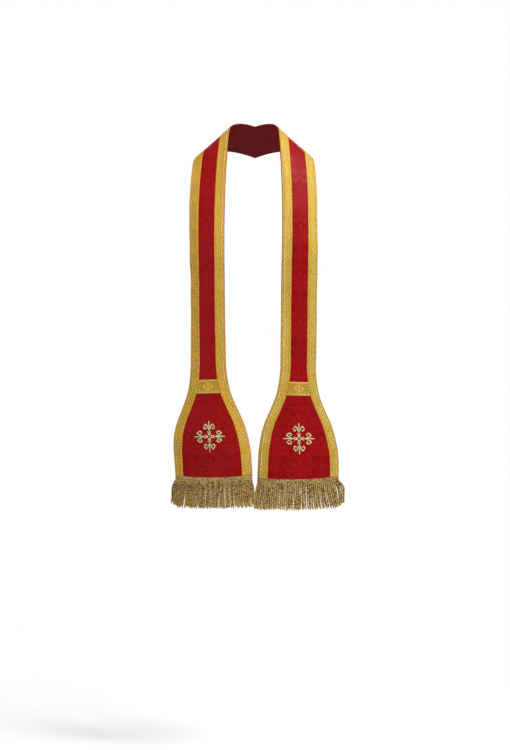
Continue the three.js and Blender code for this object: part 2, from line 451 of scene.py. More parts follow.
def linked(name: str, data: ID) -> Object:
    """A new object in the scene, at the origin."""
    made = bpy.data.objects.new(name, data)
    bpy.context.scene.collection.objects.link(made)
    return made


class MeshMaker:
    """Gathers points and faces, and makes them one smooth mesh piece."""

    def __init__(self, name: str) -> None:
        """Starts an empty piece.

        Args:
            name: the piece's name.
        """
        self.name = name
        self.points: list[Array] = []
        self.flats: list[Array] = []
        self.faces: list[Array] = []
        self.count = 0

    def add_points(self, points: Array, flat: Array) -> Array:
        """Adds points with their flat coordinates.

        Args:
            points: the points, with three coordinates on the last axis.
            flat: two flat coordinates for each, on the last axis.

        Returns:
            The indices of the points, in the same arrangement.
        """
        shape = points.shape[:-1]
        number = int(np.prod(shape))
        self.points.append(points.reshape(-1, 3))
        self.flats.append(np.broadcast_to(flat, shape + (2,)).reshape(-1, 2))
        indices = np.arange(self.count, self.count + number).reshape(shape)
        self.count += number
        return indices

    def add_faces(self, corners: list[Array], flip: bool) -> None:
        """Adds faces, one for each place in the arrays of their corners."""
        flat_corners = [c.reshape(-1) for c in corners]
        if flip:
            flat_corners.reverse()
        self.faces.append(np.stack(flat_corners, axis=1))

    def add_cloth(self, top: Array, under: Array, flat: Array, flip: bool) -> None:
        """Adds a closed body of cloth over a grid.

        Args:
            top: points of the side that shows, in rows and columns.
            under: points of the other side, in the same rows, of the same columns or only two.
            flat: flat coordinates of the points of the side that shows.
            flip: whether the grid is mirrored, so that its faces have to be turned.
        """
        flat_under = flat if under.shape == top.shape else flat[:, [0, -1]]
        t = self.add_points(top, flat)
        u = self.add_points(under, flat_under)
        self.add_faces([t[:-1, :-1], t[1:, :-1], t[1:, 1:], t[:-1, 1:]], flip)
        self.add_faces([u[:-1, 1:], u[1:, 1:], u[1:, :-1], u[:-1, :-1]], flip)
        self.add_faces([t[:-1, 0], u[:-1, 0], u[1:, 0], t[1:, 0]], flip)
        self.add_faces([t[:-1, -1], t[1:, -1], u[1:, -1], u[:-1, -1]], flip)
        if under.shape == top.shape:
            self.add_faces([t[0, :-1], t[0, 1:], u[0, 1:], u[0, :-1]], flip)
            self.add_faces([t[-1, :-1], u[-1, :-1], u[-1, 1:], t[-1, 1:]], flip)
            return
        for rim in (np.concatenate([t[0], u[0, ::-1]]), np.concatenate([t[-1, ::-1], u[-1]])):
            self.faces.append(rim[None, ::-1] if flip else rim[None])

    def make(self, material: Material, sharp: float = 50.0) -> Object:
        """Makes the piece.

        Args:
            material: the piece's finish.
            sharp: the angle between faces, in degrees, past which an edge is crisp.

        Returns:
            The new object, at the origin.
        """
        points = np.concatenate(self.points)
        flats = np.concatenate(self.flats)
        loops = np.concatenate([f.reshape(-1) for f in self.faces])
        sizes = np.concatenate([np.full(len(f), f.shape[1]) for f in self.faces])
        starts = np.concatenate([[0], np.cumsum(sizes)[:-1]])
        mesh = bpy.data.meshes.new(self.name)
        mesh.vertices.add(len(points))
        mesh.vertices.foreach_set("co", points.astype(np.float32).ravel())
        mesh.loops.add(len(loops))
        mesh.loops.foreach_set("vertex_index", loops.astype(np.int32))
        mesh.polygons.add(len(sizes))
        mesh.polygons.foreach_set("loop_start", starts.astype(np.int32))
        mesh.polygons.foreach_set("use_smooth", np.ones(len(sizes), bool))
        mesh.update(calc_edges=True)
        mesh.validate()
        flat = mesh.attributes.new(FLAT, "FLOAT_VECTOR", "POINT")
        placed = np.column_stack([flats, np.zeros(len(flats))])
        flat.data.foreach_set("vector", placed.astype(np.float32).ravel())
        mesh.set_sharp_from_angle(angle=math.radians(sharp))
        mesh.materials.append(material)
        return linked(self.name, mesh)


def rounded(from_edge: Array, layer: Layer) -> tuple[Array, Array]:
    """The top and bottom heights of a layer whose edge is rounded.

    Args:
        from_edge: distance in from the edge of the layer.
        layer: the layer.

    Returns:
        The heights of the two sides.
    """
    radius = (layer.high - layer.low) / 2
    inside = np.clip(radius - from_edge, 0.0, radius)
    drop = radius - np.sqrt(np.maximum(radius * radius - inside * inside, 0.0))
    return layer.high - drop, layer.low + drop


def smooth_path(points: Array, count: int) -> Array:
    """A smooth path through a few points.

    Args:
        points: the points, with their columns interpolated together.
        count: how many points the path gets.

    Returns:
        The path's points.
    """
    steps = np.linalg.norm(np.diff(points[:, :2], axis=0), axis=1)
    knots = np.concatenate([[0.0], np.cumsum(np.sqrt(steps))])
    slopes = np.gradient(points, knots, axis=0)
    at = np.linspace(0.0, knots[-1], count)
    i = np.clip(np.searchsorted(knots, at, side="right") - 1, 0, len(knots) - 2)
    width = (knots[i + 1] - knots[i])[:, None]
    share = (at - knots[i])[:, None] / width
    return cubic(share, width, (points[i], points[i + 1]), (slopes[i], slopes[i + 1]))


# Node trees
# ----------


class Nodes:
    """Places nodes in a tree and links them."""

    COLUMNS = 12
    COLUMN = 180.0
    ROW = 220.0

    def __init__(self, tree: NodeTree) -> None:
        """Starts placing nodes in a tree."""
        self.tree = tree
        self.placed = 0

    def add(self, kind: str, inputs: dict | None = None, **settings: object) -> Node:
        """Places a node.

        Args:
            kind: the node's type name.
            inputs: what its inputs get, by name or number: a value, a socket or a Field.
            settings: its properties.

        Returns:
            The node.
        """
        node = self.tree.nodes.new(kind)
        row, column = divmod(self.placed, self.COLUMNS)
        node.location = (self.COLUMN * column, -self.ROW * row)
        self.placed += 1
        for name, value in settings.items():
            setattr(node, name, value)
        for key, value in (inputs or {}).items():
            self.give(self._input(node, key), value)
        return node

    def field(self, kind: str, inputs: dict | None = None, output: str | None = None,
              **settings: object) -> "Field":
        """Places a node, and gives its first output in use, or the one of that name."""
        node = self.add(kind, inputs, **settings)
        return Field(self, next(s for s in node.outputs if s.enabled and output in (None, s.name)))

    @staticmethod
    def _input(node: Node, key: str | int) -> NodeSocket:
        """The node's input of that number, or the one in use that has that name."""
        if isinstance(key, int):
            return node.inputs[key]
        return next(s for s in node.inputs if s.name == key and s.enabled)

    def give(self, socket: NodeSocket, value: object) -> None:
        """Links a socket or a Field to an input, or sets the input's value."""
        value = value.socket if isinstance(value, Field) else value
        if isinstance(value, NodeSocket):
            self.tree.links.new(value, socket)
        else:
            socket.default_value = value


class Field:
    """What a node puts out: arithmetic on a number that varies becomes Math nodes."""

    def __init__(self, nodes: Nodes, socket: NodeSocket) -> None:
        """Wraps a socket."""
        self.nodes = nodes
        self.socket = socket

    def math(self, operation: str, *others: "Field | float") -> "Field":
        """The result of a Math node on this number and others."""
        inputs = dict(enumerate((self, *others)))
        return self.nodes.field("ShaderNodeMath", inputs, operation=operation)

    # Each of these is one Math node.
    __add__ = partialmethod(math, "ADD")
    __sub__ = partialmethod(math, "SUBTRACT")
    __mul__ = partialmethod(math, "MULTIPLY")
    __truediv__ = partialmethod(math, "DIVIDE")
    low = partialmethod(math, "MINIMUM")
    high = partialmethod(math, "MAXIMUM")
    angle_from = partialmethod(math, "ARCTAN2")
    abs = partialmethod(math, "ABSOLUTE")
    sin = partialmethod(math, "SINE")
    cos = partialmethod(math, "COSINE")

    def rest(self) -> "Field":
        """What is left of one."""
        return self * -1.0 + 1.0

    def beside(self, other: "Field") -> "Field":
        """The length of the hypotenuse of this and another number."""
        return (self * self + other * other).math("SQRT")

    def folded(self, period: float) -> "Field":
        """The number wrapped to half a period either side of nothing."""
        return self.math("WRAP", period / 2, -period / 2)

    def ease(self, start: float, end: float) -> "Field":
        """Eased from 0 at start to 1 at end, which may be the lower of the two."""
        inputs = {"Value": self, "From Min": min(start, end), "From Max": max(start, end)}
        if start > end:
            inputs |= {"To Min": 1.0, "To Max": 0.0}
        return self.nodes.field("ShaderNodeMapRange", inputs, interpolation_type="SMOOTHSTEP")

    def line(self, centre: float, width: float, soft: float) -> "Field":
        """A line of a width drawn where this distance equals centre."""
        return (self - centre).abs().ease(width / 2 + soft, width / 2 - soft)

    def parts(self) -> tuple["Field", "Field"]:
        """The first two parts of coordinates."""
        split = self.nodes.add("ShaderNodeSeparateXYZ", {0: self})
        return Field(self.nodes, split.outputs[0]), Field(self.nodes, split.outputs[1])


class Effect:
    """A node group with named inputs and outputs, built once and placed with its own values.

    An input's entry is its usual value, or the kind of socket that it has.
    """

    kind = "ShaderNodeTree"
    name = "effect"
    inputs: dict[str, float | str] = {}
    outputs: tuple[str, ...] = ()
    gives = "Float"

    def draw(self, nodes: Nodes, given: dict[str, Field]) -> dict[str, Field]:
        """Builds the inside of the group.

        Args:
            nodes: where the nodes go.
            given: the group's inputs.

        Returns:
            The group's outputs.
        """
        raise NotImplementedError

    def tree(self) -> NodeTree:
        """The group's tree, built at first use."""
        known = bpy.data.node_groups.get(self.name)
        if known is not None:
            return known
        tree = bpy.data.node_groups.new(self.name, self.kind)
        for name, value in self.inputs.items():
            kind = value if isinstance(value, str) else type(value).__name__.title()
            socket = tree.interface.new_socket(name, in_out="INPUT", socket_type=f"NodeSocket{kind}")
            if value != kind:
                socket.default_value = value
        for name in self.outputs:
            tree.interface.new_socket(name, in_out="OUTPUT", socket_type=f"NodeSocket{self.gives}")
        nodes = Nodes(tree)
        start = nodes.add("NodeGroupInput")
        given = {name: Field(nodes, start.outputs[name]) for name in self.inputs}
        nodes.add("NodeGroupOutput", self.draw(nodes, given))
        return tree

    def place(self, nodes: Nodes, given: dict[str, object]) -> dict[str, Field]:
        """Places the group in a material, and gives its outputs by name."""
        node = nodes.add("ShaderNodeGroup", given, node_tree=self.tree())
        return {name: Field(nodes, node.outputs[name]) for name in self.outputs}


class Ribs(Effect):
    """Fine parallel threads, at a pitch and a lean."""

    name = "thread ribs"
    inputs = {"Place": "Vector", "Pitch": 0.5 * MM, "Lean": 0.0}
    outputs = ("Height",)

    def draw(self, nodes: Nodes, given: dict[str, Field]) -> dict[str, Field]:
        """See Effect."""
        across, along = given["Place"].parts()
        way = across * given["Lean"].cos() + along * given["Lean"].sin()
        wave = (way / given["Pitch"] * math.tau).sin()
        return {"Height": wave * 0.5 + 0.5}


class Lattice(Effect):
    """Threads that cross on the diagonal and leave small open diamonds."""

    name = "crossed threads"
    inputs = {"Place": "Vector", "Across": 4.8 * MM, "Along": 4.8 * MM, "Open": 0.8}
    outputs = ("Lean", "Gap")
    soft = 0.08
    lean_full = 0.4

    def draw(self, nodes: Nodes, given: dict[str, Field]) -> dict[str, Field]:
        """See Effect."""
        across, along = given["Place"].parts()
        a = across / given["Across"]
        b = along / given["Along"]
        one = ((a + b) * math.pi).cos().abs()
        two = ((a - b) * math.pi).cos().abs()
        gap = (one.high(two) - given["Open"]).ease(self.soft, -self.soft)
        return {"Lean": (one - two).ease(0.0, self.lean_full), "Gap": gap}


class Mottle(Effect):
    """Soft uneven colour from handling, dye and light wear, and in the gold and the fringe also painted
    glints and dark specks.
    """

    name = "mottle"
    inputs = {"Place": "Vector", "Size": 0.05, "Seed": 0.0}
    outputs = ("Value",)
    detail = 3.0
    limits = (0.3, 0.7)

    def draw(self, nodes: Nodes, given: dict[str, Field]) -> dict[str, Field]:
        """See Effect."""
        scale = nodes.field("ShaderNodeMath", {0: 1.0, 1: given["Size"]}, operation="DIVIDE")
        inputs = {"Vector": given["Place"], "W": given["Seed"], "Scale": scale, "Detail": self.detail}
        noise = nodes.field("ShaderNodeTexNoise", inputs, noise_dimensions="4D")
        return {"Value": noise.ease(*self.limits)}


@dataclass(frozen=True)
class Figure:
    """Sizes of the damask figure: barbed frames in half-drop columns, with leaves and rosettes."""

    column: float = 54.0 * MM
    repeat: float = 111.0 * MM
    start: float = 706.0 * MM
    tip_across: float = 43.0 * MM
    tip_along: float = 39.5 * MM
    lobe: float = 16.5 * MM
    lobe_radius: float = 12.8 * MM
    hollow: float = 0.82
    line: float = 1.9 * MM
    thin_line: float = 1.52 * MM
    line_gap: float = 4.3 * MM
    outside: float = 2.1 * MM
    soft: float = 0.35 * MM
    fine_soft: float = 0.3 * MM
    inside: tuple[float, float] = (-5.4 * MM, -6.0 * MM)
    petal_base: float = 11.0 * MM
    petal_reach: float = 23.0 * MM
    petal_flat: float = 0.82
    petals: float = 4.0
    petal_swell: float = 0.36
    petal_heart: tuple[float, float] = (5.4 * MM, 6.4 * MM)
    base_radius: tuple[float, float] = (4.0 * MM, 3.2 * MM)
    rim: float = 1.1 * MM
    rim_line: float = 1.3 * MM
    leaf_middle: float = 16.0 * MM
    leaf_bend: float = 60.0
    leaf_apart: float = 3.0 * MM
    leaf_ends: tuple[float, float] = (-8.0 * MM, 13.0 * MM)
    leaf_width: float = 0.12
    rosette: float = 9.5 * MM
    rosette_lobes: float = 4.0
    rosette_swell: float = 0.35
    rosette_body: float = 0.55
    rosette_eye: tuple[float, float] = (0.22, 0.30)
    rosette_halo: float = 1.08
    rosette_ring: float = 1.28
    ring_line: float = 1.5 * MM


class DamaskMotif(Effect):
    """One frame of the damask with its leaves and rosettes, about its own centre."""

    name = "damask motif"
    inputs = {"Across": 0.0, "Along": 0.0}
    outputs = ("Line", "Shade", "Fill")
    sizes = Figure()

    def draw(self, nodes: Nodes, given: dict[str, Field]) -> dict[str, Field]:
        """See Effect."""
        s = self.sizes
        x, y = given["Across"], given["Along"]
        ax, ay = x.abs(), y.abs()
        from_lobe = (ax - s.lobe).beside(ay - s.lobe)
        scale = 1.0 / math.hypot(1.0 / s.tip_across, 1.0 / s.tip_along)
        reach = (ax / s.tip_across).math("POWER", s.hollow) + (ay / s.tip_along).math("POWER", s.hollow)
        edge = (from_lobe - s.lobe_radius).low((reach - 1.0) * scale)
        inside = edge.ease(*s.inside)

        def outline(centre: float, width: float) -> Field:
            """A line that follows the frame's edge."""
            return edge.line(centre, width, s.soft)

        frame = outline(0.0, s.line).high(outline(-s.line_gap, s.thin_line))
        between = outline(-s.line_gap / 2, s.thin_line).high(outline(s.outside, s.thin_line))
        petals, veins = self._fan(x, y)
        star, ring, halo = self._rosette(x, ay - s.repeat / 2)
        # Line is painted lighter by the damask, as a highlight on the raised outlines. Shade takes painted
        # shade in the thin gaps beside them, between and round the petals, and round the rosette.
        return {
            "Line": frame.high(ring),
            "Shade": between.high(veins * inside).high(halo),
            "Fill": (petals.high(self._sprig(ax, y)) * inside).high(star),
        }

    def _fan(self, x: Field, y: Field) -> tuple[Field, Field]:
        """A palmette of seven petals on a small base, and the gaps between its petals, which take painted
        shade.
        """
        s = self.sizes
        up = y * -1.0 + s.petal_base
        radius = x.beside(up * s.petal_flat)
        petal = (x.angle_from(up) * s.petals).cos().abs()
        edge = radius - (petal * s.petal_swell + (1.0 - s.petal_swell)) * s.petal_reach
        body = edge.ease(0.4 * MM, -0.4 * MM) * radius.ease(*s.petal_heart)
        rim = edge.line(s.rim, s.rim_line, s.fine_soft)
        petals = (body * petal.ease(0.30, 0.46)).high(radius.ease(*s.base_radius))
        return petals, (body * petal.ease(0.34, 0.22)).high(rim)

    def _sprig(self, ax: Field, y: Field) -> Field:
        """A pair of slender leaves below the palmette."""
        s = self.sizes
        down = y - s.leaf_middle
        top, tip = s.leaf_ends
        away = (ax - down * down * s.leaf_bend - s.leaf_apart).abs()
        leaf = away - (down * -1.0 + tip) * s.leaf_width
        ends = down.ease(tip, tip - 1.0 * MM) * down.ease(top, top + 1.0 * MM)
        return leaf.ease(s.fine_soft, -s.fine_soft) * ends

    def _rosette(self, x: Field, y: Field) -> tuple[Field, Field, Field]:
        """A small round flower, the ring round it and the gap between them, which takes painted shade."""
        s = self.sizes
        radius = x.beside(y)
        lobes = (x.angle_from(y) * s.rosette_lobes).cos().abs()
        edge = (lobes * s.rosette_swell + s.rosette_body) * s.rosette
        flower = (radius - edge).ease(s.fine_soft, -s.fine_soft)
        eye = radius.ease(*(s.rosette * share for share in s.rosette_eye))
        ring = radius.line(s.rosette * s.rosette_ring, s.ring_line, s.fine_soft)
        return flower * eye, ring, radius.line(s.rosette * s.rosette_halo, s.rim_line, s.fine_soft)


class DamaskFigure(Effect):
    """The woven figure of the damask, repeated in half-drop over the cut."""

    name = "damask figure"
    inputs = {"Place": "Vector"}
    outputs = ("Line", "Shade", "Fill")
    sizes = Figure()

    def draw(self, nodes: Nodes, given: dict[str, Field]) -> dict[str, Field]:
        """See Effect."""
        s = self.sizes
        across, along = given["Place"].parts()
        motif = DamaskMotif()
        drawn = []
        for shift in (0.0, 1.0):
            x = (across + shift * s.column).folded(2 * s.column)
            y = (along - s.start + shift * s.repeat / 2).folded(s.repeat)
            drawn.append(motif.place(nodes, {"Across": x, "Along": y}))
        return {name: drawn[0][name].high(drawn[1][name]) for name in self.outputs}


# Finishes
# --------


def linear(red: int, green: int, blue: int) -> Colour:
    """A colour given in display values, from 0 to 255, as the shader's own values."""
    def one(value: int) -> float:
        """One channel, by the standard display curve."""
        share = value / 255
        return share / 12.92 if share <= 0.04045 else ((share + 0.055) / 1.055) ** 2.4
    return one(red), one(green), one(blue)


class Surface:
    """A material under construction: its nodes, its shader and the coordinates it reads."""

    def __init__(self, name: str, specular: float, tint: Colour, **constants: float) -> None:
        """Starts a material.

        Args:
            name: the material's name.
            specular: how strongly it shines.
            tint: the colour of its shine.
            constants: other sockets of the shader that have one value all over.
        """
        self.material = bpy.data.materials.new(name)
        self.material.use_nodes = True
        self.material.node_tree.nodes.clear()
        self.nodes = Nodes(self.material.node_tree)
        constants |= {"Specular IOR Level": specular, "Specular Tint": (*tint, 1.0)}
        self.shader = self.nodes.add("ShaderNodeBsdfPrincipled", constants)
        self.end = self.nodes.add("ShaderNodeOutputMaterial", {"Surface": self.shader.outputs[0]})

    @cached_property
    def flat(self) -> Field:
        """The piece's flat coordinates."""
        return self.nodes.field("ShaderNodeAttribute", None, "Vector", attribute_name=FLAT)

    @cached_property
    def object(self) -> Field:
        """Coordinates in the object's own space."""
        return self.nodes.field("ShaderNodeTexCoord", None, "Object")

    @cached_property
    def across(self) -> Field:
        """The part of the flat coordinates that runs across the piece."""
        return self.flat.parts()[0]

    def scaled(self, *scale: float) -> Field:
        """The flat coordinates stretched by a scale."""
        return self.nodes.field("ShaderNodeMapping", {"Vector": self.flat, "Scale": scale})

    def mottle(self, place: Field, size: float, seed: float) -> Field:
        """Uneven spots about as large as size, in metres, and different for each seed."""
        return Mottle().place(self.nodes, {"Place": place, "Size": size, "Seed": seed})["Value"]

    def ribs(self, pitch: float, lean: float) -> Field:
        """The height of parallel threads at a pitch, leaning from across towards along."""
        return Ribs().place(self.nodes, {"Place": self.flat, "Pitch": pitch, "Lean": lean})["Height"]

    def layered(self, ground: Colour, *coats: tuple[Field, Colour]) -> Field:
        """A ground with coats of colour over it, each given with its share."""
        for share, colour in coats:
            inputs = {"Factor": share, "A": ground, "B": (*colour, 1.0)}
            if not isinstance(ground, Field):
                inputs["A"] = (*ground, 1.0)
            ground = self.nodes.field("ShaderNodeMix", inputs, data_type="RGBA")
        return ground

    def give(self, socket: str, value: Field) -> None:
        """Gives a socket of the shader a value that changes over the surface."""
        self.nodes.give(self.shader.inputs[socket], value)

    def relief(self, height: Field, depth: float) -> None:
        """Gives the surface a fine relief, depth metres from its lowest to its highest."""
        inputs = {"Strength": 1.0, "Distance": depth, "Height": height}
        self.give("Normal", self.nodes.field("ShaderNodeBump", inputs))


@dataclass(frozen=True)
class DamaskFinish:
    """Red silk damask: a satin ground, a figure woven the other way, and fine outlines painted lighter as a
    highlight, with painted shade in the thin lines beside them.
    """

    ground: Colour = linear(153, 10, 13)
    worn: Colour = linear(134, 7, 10)
    figure: Colour = linear(166, 16, 20)
    outline: Colour = linear(186, 22, 28)
    shadow: Colour = linear(110, 4, 7)
    sheen: Colour = (1.0, 0.3, 0.32)
    patch: float = 50.0 * MM
    grain: float = 2.6 * MM
    satin_pitch: float = 0.45 * MM
    weft_pitch: float = 0.8 * MM
    weft_lean: float = 0.9
    depth: float = 0.18 * MM

    def material(self) -> Material:
        """The finish as a material."""
        surface = Surface("damask", 0.25, self.sheen)
        figure = DamaskFigure().place(surface.nodes, {"Place": surface.flat})
        line, fill, shade = (figure[name] for name in ("Line", "Fill", "Shade"))
        mottle = surface.mottle(surface.object, self.patch, 3.0)
        grain = surface.mottle(surface.scaled(1.0, 0.6, 1.0), self.grain, 6.0)
        # The outline coat is painted lighter, as a highlight on the raised lines. The shadow coat is
        # painted shade in the thin lines beside them. The worn coat is random tone and the figure coat is
        # the woven pattern.
        surface.give("Base Color", surface.layered(
            self.ground, (mottle * 0.5 + grain * 0.5, self.worn), (fill * 0.5, self.figure),
            (shade * 0.6, self.shadow), (line * 0.6, self.outline),
        ))
        surface.give("Roughness", fill * 0.10 + mottle * 0.04 + 0.36)
        satin = surface.ribs(self.satin_pitch, 0.0)
        weft = surface.ribs(self.weft_pitch, self.weft_lean)
        surface.relief(satin * 0.16 + fill * (weft * 0.4 + 0.3) + line - shade * 0.6, self.depth)
        return surface.material


@dataclass(frozen=True)
class LiningFinish:
    """Dark red satin lining."""

    ground: Colour = linear(124, 9, 17)
    worn: Colour = linear(100, 6, 13)
    sheen: Colour = (1.0, 0.35, 0.4)
    patch: float = 60.0 * MM
    slub: float = 20.0 * MM
    pitch: float = 0.5 * MM
    lean: float = 0.12
    depth: float = 0.12 * MM

    def material(self) -> Material:
        """The finish as a material."""
        surface = Surface("lining satin", 0.25, self.sheen)
        mottle = surface.mottle(surface.object, self.patch, 7.0)
        surface.give("Base Color", surface.layered(self.ground, (mottle, self.worn)))
        surface.give("Roughness", mottle * 0.08 + 0.36)
        slub = surface.mottle(surface.scaled(6.0, 1.0, 1.0), self.slub, 2.0)
        surface.relief(surface.ribs(self.pitch, self.lean) * 0.4 + slub * 0.6, self.depth)
        return surface.material


def crossed_threads(across: Array, along: Array) -> Array:
    """How high threads that cross on the diagonal stand, where both places are in diamonds."""
    one, two = (np.abs(np.cos(math.pi * (across + way * along))) for way in (1, -1))
    return np.maximum(one, two) ** 0.6


def dome(share: Array) -> Array:
    """The height of a round ridge, 1 at its middle and 0 at a share of 1 to either side."""
    return np.sqrt(np.clip(1.0 - share * share, 0.0, 1.0))


@dataclass(frozen=True)
class WovenHeights:
    """How high the parts of a gold braid stand over its back."""

    ground: float = 0.30 * MM
    threads: float = 0.46 * MM
    zone: float = 0.22 * MM
    flower: float = 0.42 * MM
    edge: float = 0.42 * MM
    border: float = 0.62 * MM

    def woven(self, crossed: Array, zone: Array, flower: Array) -> Array:
        """The heights between the borders, from how high the threads, plain zones and flowers stand."""
        plain = (self.zone + self.flower * flower) * zone
        return self.ground + self.threads * crossed * (1 - zone) + plain


@dataclass(frozen=True)
class BraidPattern:
    """Sizes of the gold braid, measured in from the edge that is away from the damask."""

    width: float = 23.0 * MM
    outer: float = 3.7 * MM
    inner: float = 17.4 * MM
    step_across: float = 8.4 * MM
    step_along: float = 7.2 * MM
    repeat: float = 62.0 * MM
    rosette: float = 8.0 * MM
    rosette_soft: float = 1.2 * MM
    petal_across: float = 4.6 * MM
    petal_along: float = 6.6 * MM
    beads: float = 6.0 * MM
    bead_gap: float = 5.4 * MM
    open: float = 0.82
    heights: WovenHeights = WovenHeights()

    @property
    def middle(self) -> float:
        """The middle of the field between the borders."""
        return (self.outer + self.inner) / 2

    def _ridge(self, inward: Array, start: float, end: float) -> Array:
        """The height of a border that runs from start to end, from 0 to 1."""
        return dome((inward - (start + end) / 2) / ((end - start) / 2))

    def relief(self, inward: Array, along: Array) -> Array:
        """The height of the braid over its back.

        Args:
            inward: distance in from the outer edge.
            along: distance along the braid.

        Returns:
            The heights, in metres.
        """
        away = (along + self.repeat / 2) % self.repeat - self.repeat / 2
        near, far = self.rosette - self.rosette_soft, self.rosette + self.rosette_soft
        zone = 1.0 - smoothstep(near, far, np.abs(away))
        sideways, lengthways = (inward - self.middle) / self.petal_across, away / self.petal_along
        lobes = 1.12 - 0.16 * np.cos(4 * np.arctan2(sideways, lengthways))
        flower = np.sqrt(np.clip(1.0 - np.hypot(sideways, lengthways) * lobes, 0.0, 1.0))
        crossed = crossed_threads(inward / self.step_across, along / self.step_along)
        ridges = self._ridge(inward, 0.0, self.outer) + self._ridge(inward, self.inner, self.width)
        in_field = (inward > self.outer) & (inward < self.inner)
        border = self.heights.edge + self.heights.border * ridges
        return np.where(in_field, self.heights.woven(crossed, zone, flower), border)


@dataclass(frozen=True)
class BarPattern:
    """Sizes of the braid bar across the top of the spade."""

    height: float = 31.5 * MM
    border: float = 4.8 * MM
    step: float = 7.4 * MM
    flower: float = 12.5 * MM
    flower_soft: tuple[float, float] = (-2.0 * MM, 1.0 * MM)
    lobes: tuple[tuple[float, float], ...] = ((8.5 * MM, 0.0), (0.0, 6.2 * MM))
    lobe: float = 3.6 * MM
    tooth: float = 3.2 * MM
    heights: WovenHeights = WovenHeights(zone=0.20 * MM, flower=0.45 * MM, border=0.60 * MM)

    def relief(self, across: Array, down: Array) -> Array:
        """The height of the bar over its back.

        Args:
            across: distance from the middle of the band.
            down: distance from the bar's upper edge.

        Returns:
            The heights, in metres.
        """
        from_edge = np.minimum(down, self.height - down)
        ridge = dome(np.minimum((from_edge - self.border / 2) / (self.border / 2), 1.0))
        middle = down - self.height / 2
        crossed = crossed_threads(across / self.step, middle / self.step)
        ends = (self.flower + soft for soft in self.flower_soft)
        centre = 1.0 - smoothstep(*ends, np.abs(across) + np.abs(middle))
        away = [np.abs(np.abs(across) - x) + np.abs(np.abs(middle) - y) for x, y in self.lobes]
        petals = np.sqrt(np.clip(1.0 - np.minimum(*away) / self.lobe, 0.0, 1.0))
        border = self.heights.edge + self.heights.border * ridge
        return np.where(from_edge > self.border, self.heights.woven(crossed, centre, petals), border)


class BraidMasks(Effect):
    """Where the braid's borders, open diamonds, rosette zones and lattice are."""

    name = "braid masks"
    inputs = {"Place": "Vector"}
    outputs = ("Outer", "Inner", "Gap", "Zone", "Lean", "Mesh")
    # The Lean coat marks where one diagonal set of threads lies on top and paints it lighter, as a painted
    # highlight.
    coats = (
        ("Zone", 0.7, "border"), ("Outer", 1.0, "border"), ("Inner", 0.75, "border"),
        ("Mesh", 0.45, "light"), ("Lean", 0.4, "light"),
    )
    sizes = BraidPattern()
    soft = 0.25 * MM

    def draw(self, nodes: Nodes, given: dict[str, Field]) -> dict[str, Field]:
        """See Effect."""
        s = self.sizes
        inward, along = given["Place"].parts()
        lattice = Lattice().place(nodes, {
            "Place": given["Place"], "Across": s.step_across, "Along": s.step_along, "Open": s.open,
        })
        outer = inward.ease(s.outer + self.soft, s.outer - self.soft)
        inner = inward.ease(s.inner - self.soft, s.inner + self.soft)
        zone = along.folded(s.repeat).abs().ease(s.rosette + MM, s.rosette - MM)
        mesh = outer.high(inner).rest() * zone.rest()
        return {
            "Outer": outer,
            "Inner": inner,
            "Gap": lattice["Gap"] * mesh,
            "Zone": zone,
            "Lean": lattice["Lean"] * mesh,
            "Mesh": mesh,
        }


class BarMasks(Effect):
    """Where the bar's borders, teeth, open diamonds and centre are."""

    name = "bar masks"
    inputs = {"Place": "Vector"}
    outputs = ("Border", "Gap", "Centre", "Lobe")
    coats = (("Centre", 0.8, "border"), ("Lobe", 0.9, "light"), ("Border", 0.3, "light"))
    sizes = BarPattern()
    soft = 0.2 * MM

    def draw(self, nodes: Nodes, given: dict[str, Field]) -> dict[str, Field]:
        """See Effect."""
        s = self.sizes
        across, down = given["Place"].parts()
        middle = down - s.height / 2
        from_edge = (middle.abs() - s.height / 2) * -1.0
        border = from_edge.ease(s.border + self.soft, s.border - self.soft)
        one, two = (((across + middle * way) * (math.pi / s.step)).cos().abs() for way in (1.0, -1.0))
        centre = (across.abs() + middle.abs()).ease(s.flower + MM, s.flower - 2 * MM)
        gap = one.high(two).ease(0.89, 0.75) * border.rest() * centre.rest()
        teeth = (across.folded(s.tooth).abs() + (from_edge - s.border).abs() * 0.8).ease(1.3 * MM, 0.8 * MM)
        beside = [(across.abs() - x).abs() + (middle.abs() - y).abs() for x, y in s.lobes]
        lobe = beside[0].low(beside[1]).ease(s.lobe, s.lobe - 0.6 * MM)
        return {"Border": border, "Gap": gap.high(teeth * 0.8), "Centre": centre, "Lobe": lobe}


class GoldKind(Enum):
    """The gold trimmings that have a finish of their own. The three braid kinds are one braid in a plain, a
    lit and a shaded copy: painted light and shade.
    """

    BRAID = "gold braid"
    PALE = "lit gold braid"
    OPEN = "shaded gold braid"
    BAR = "gold braid bar"


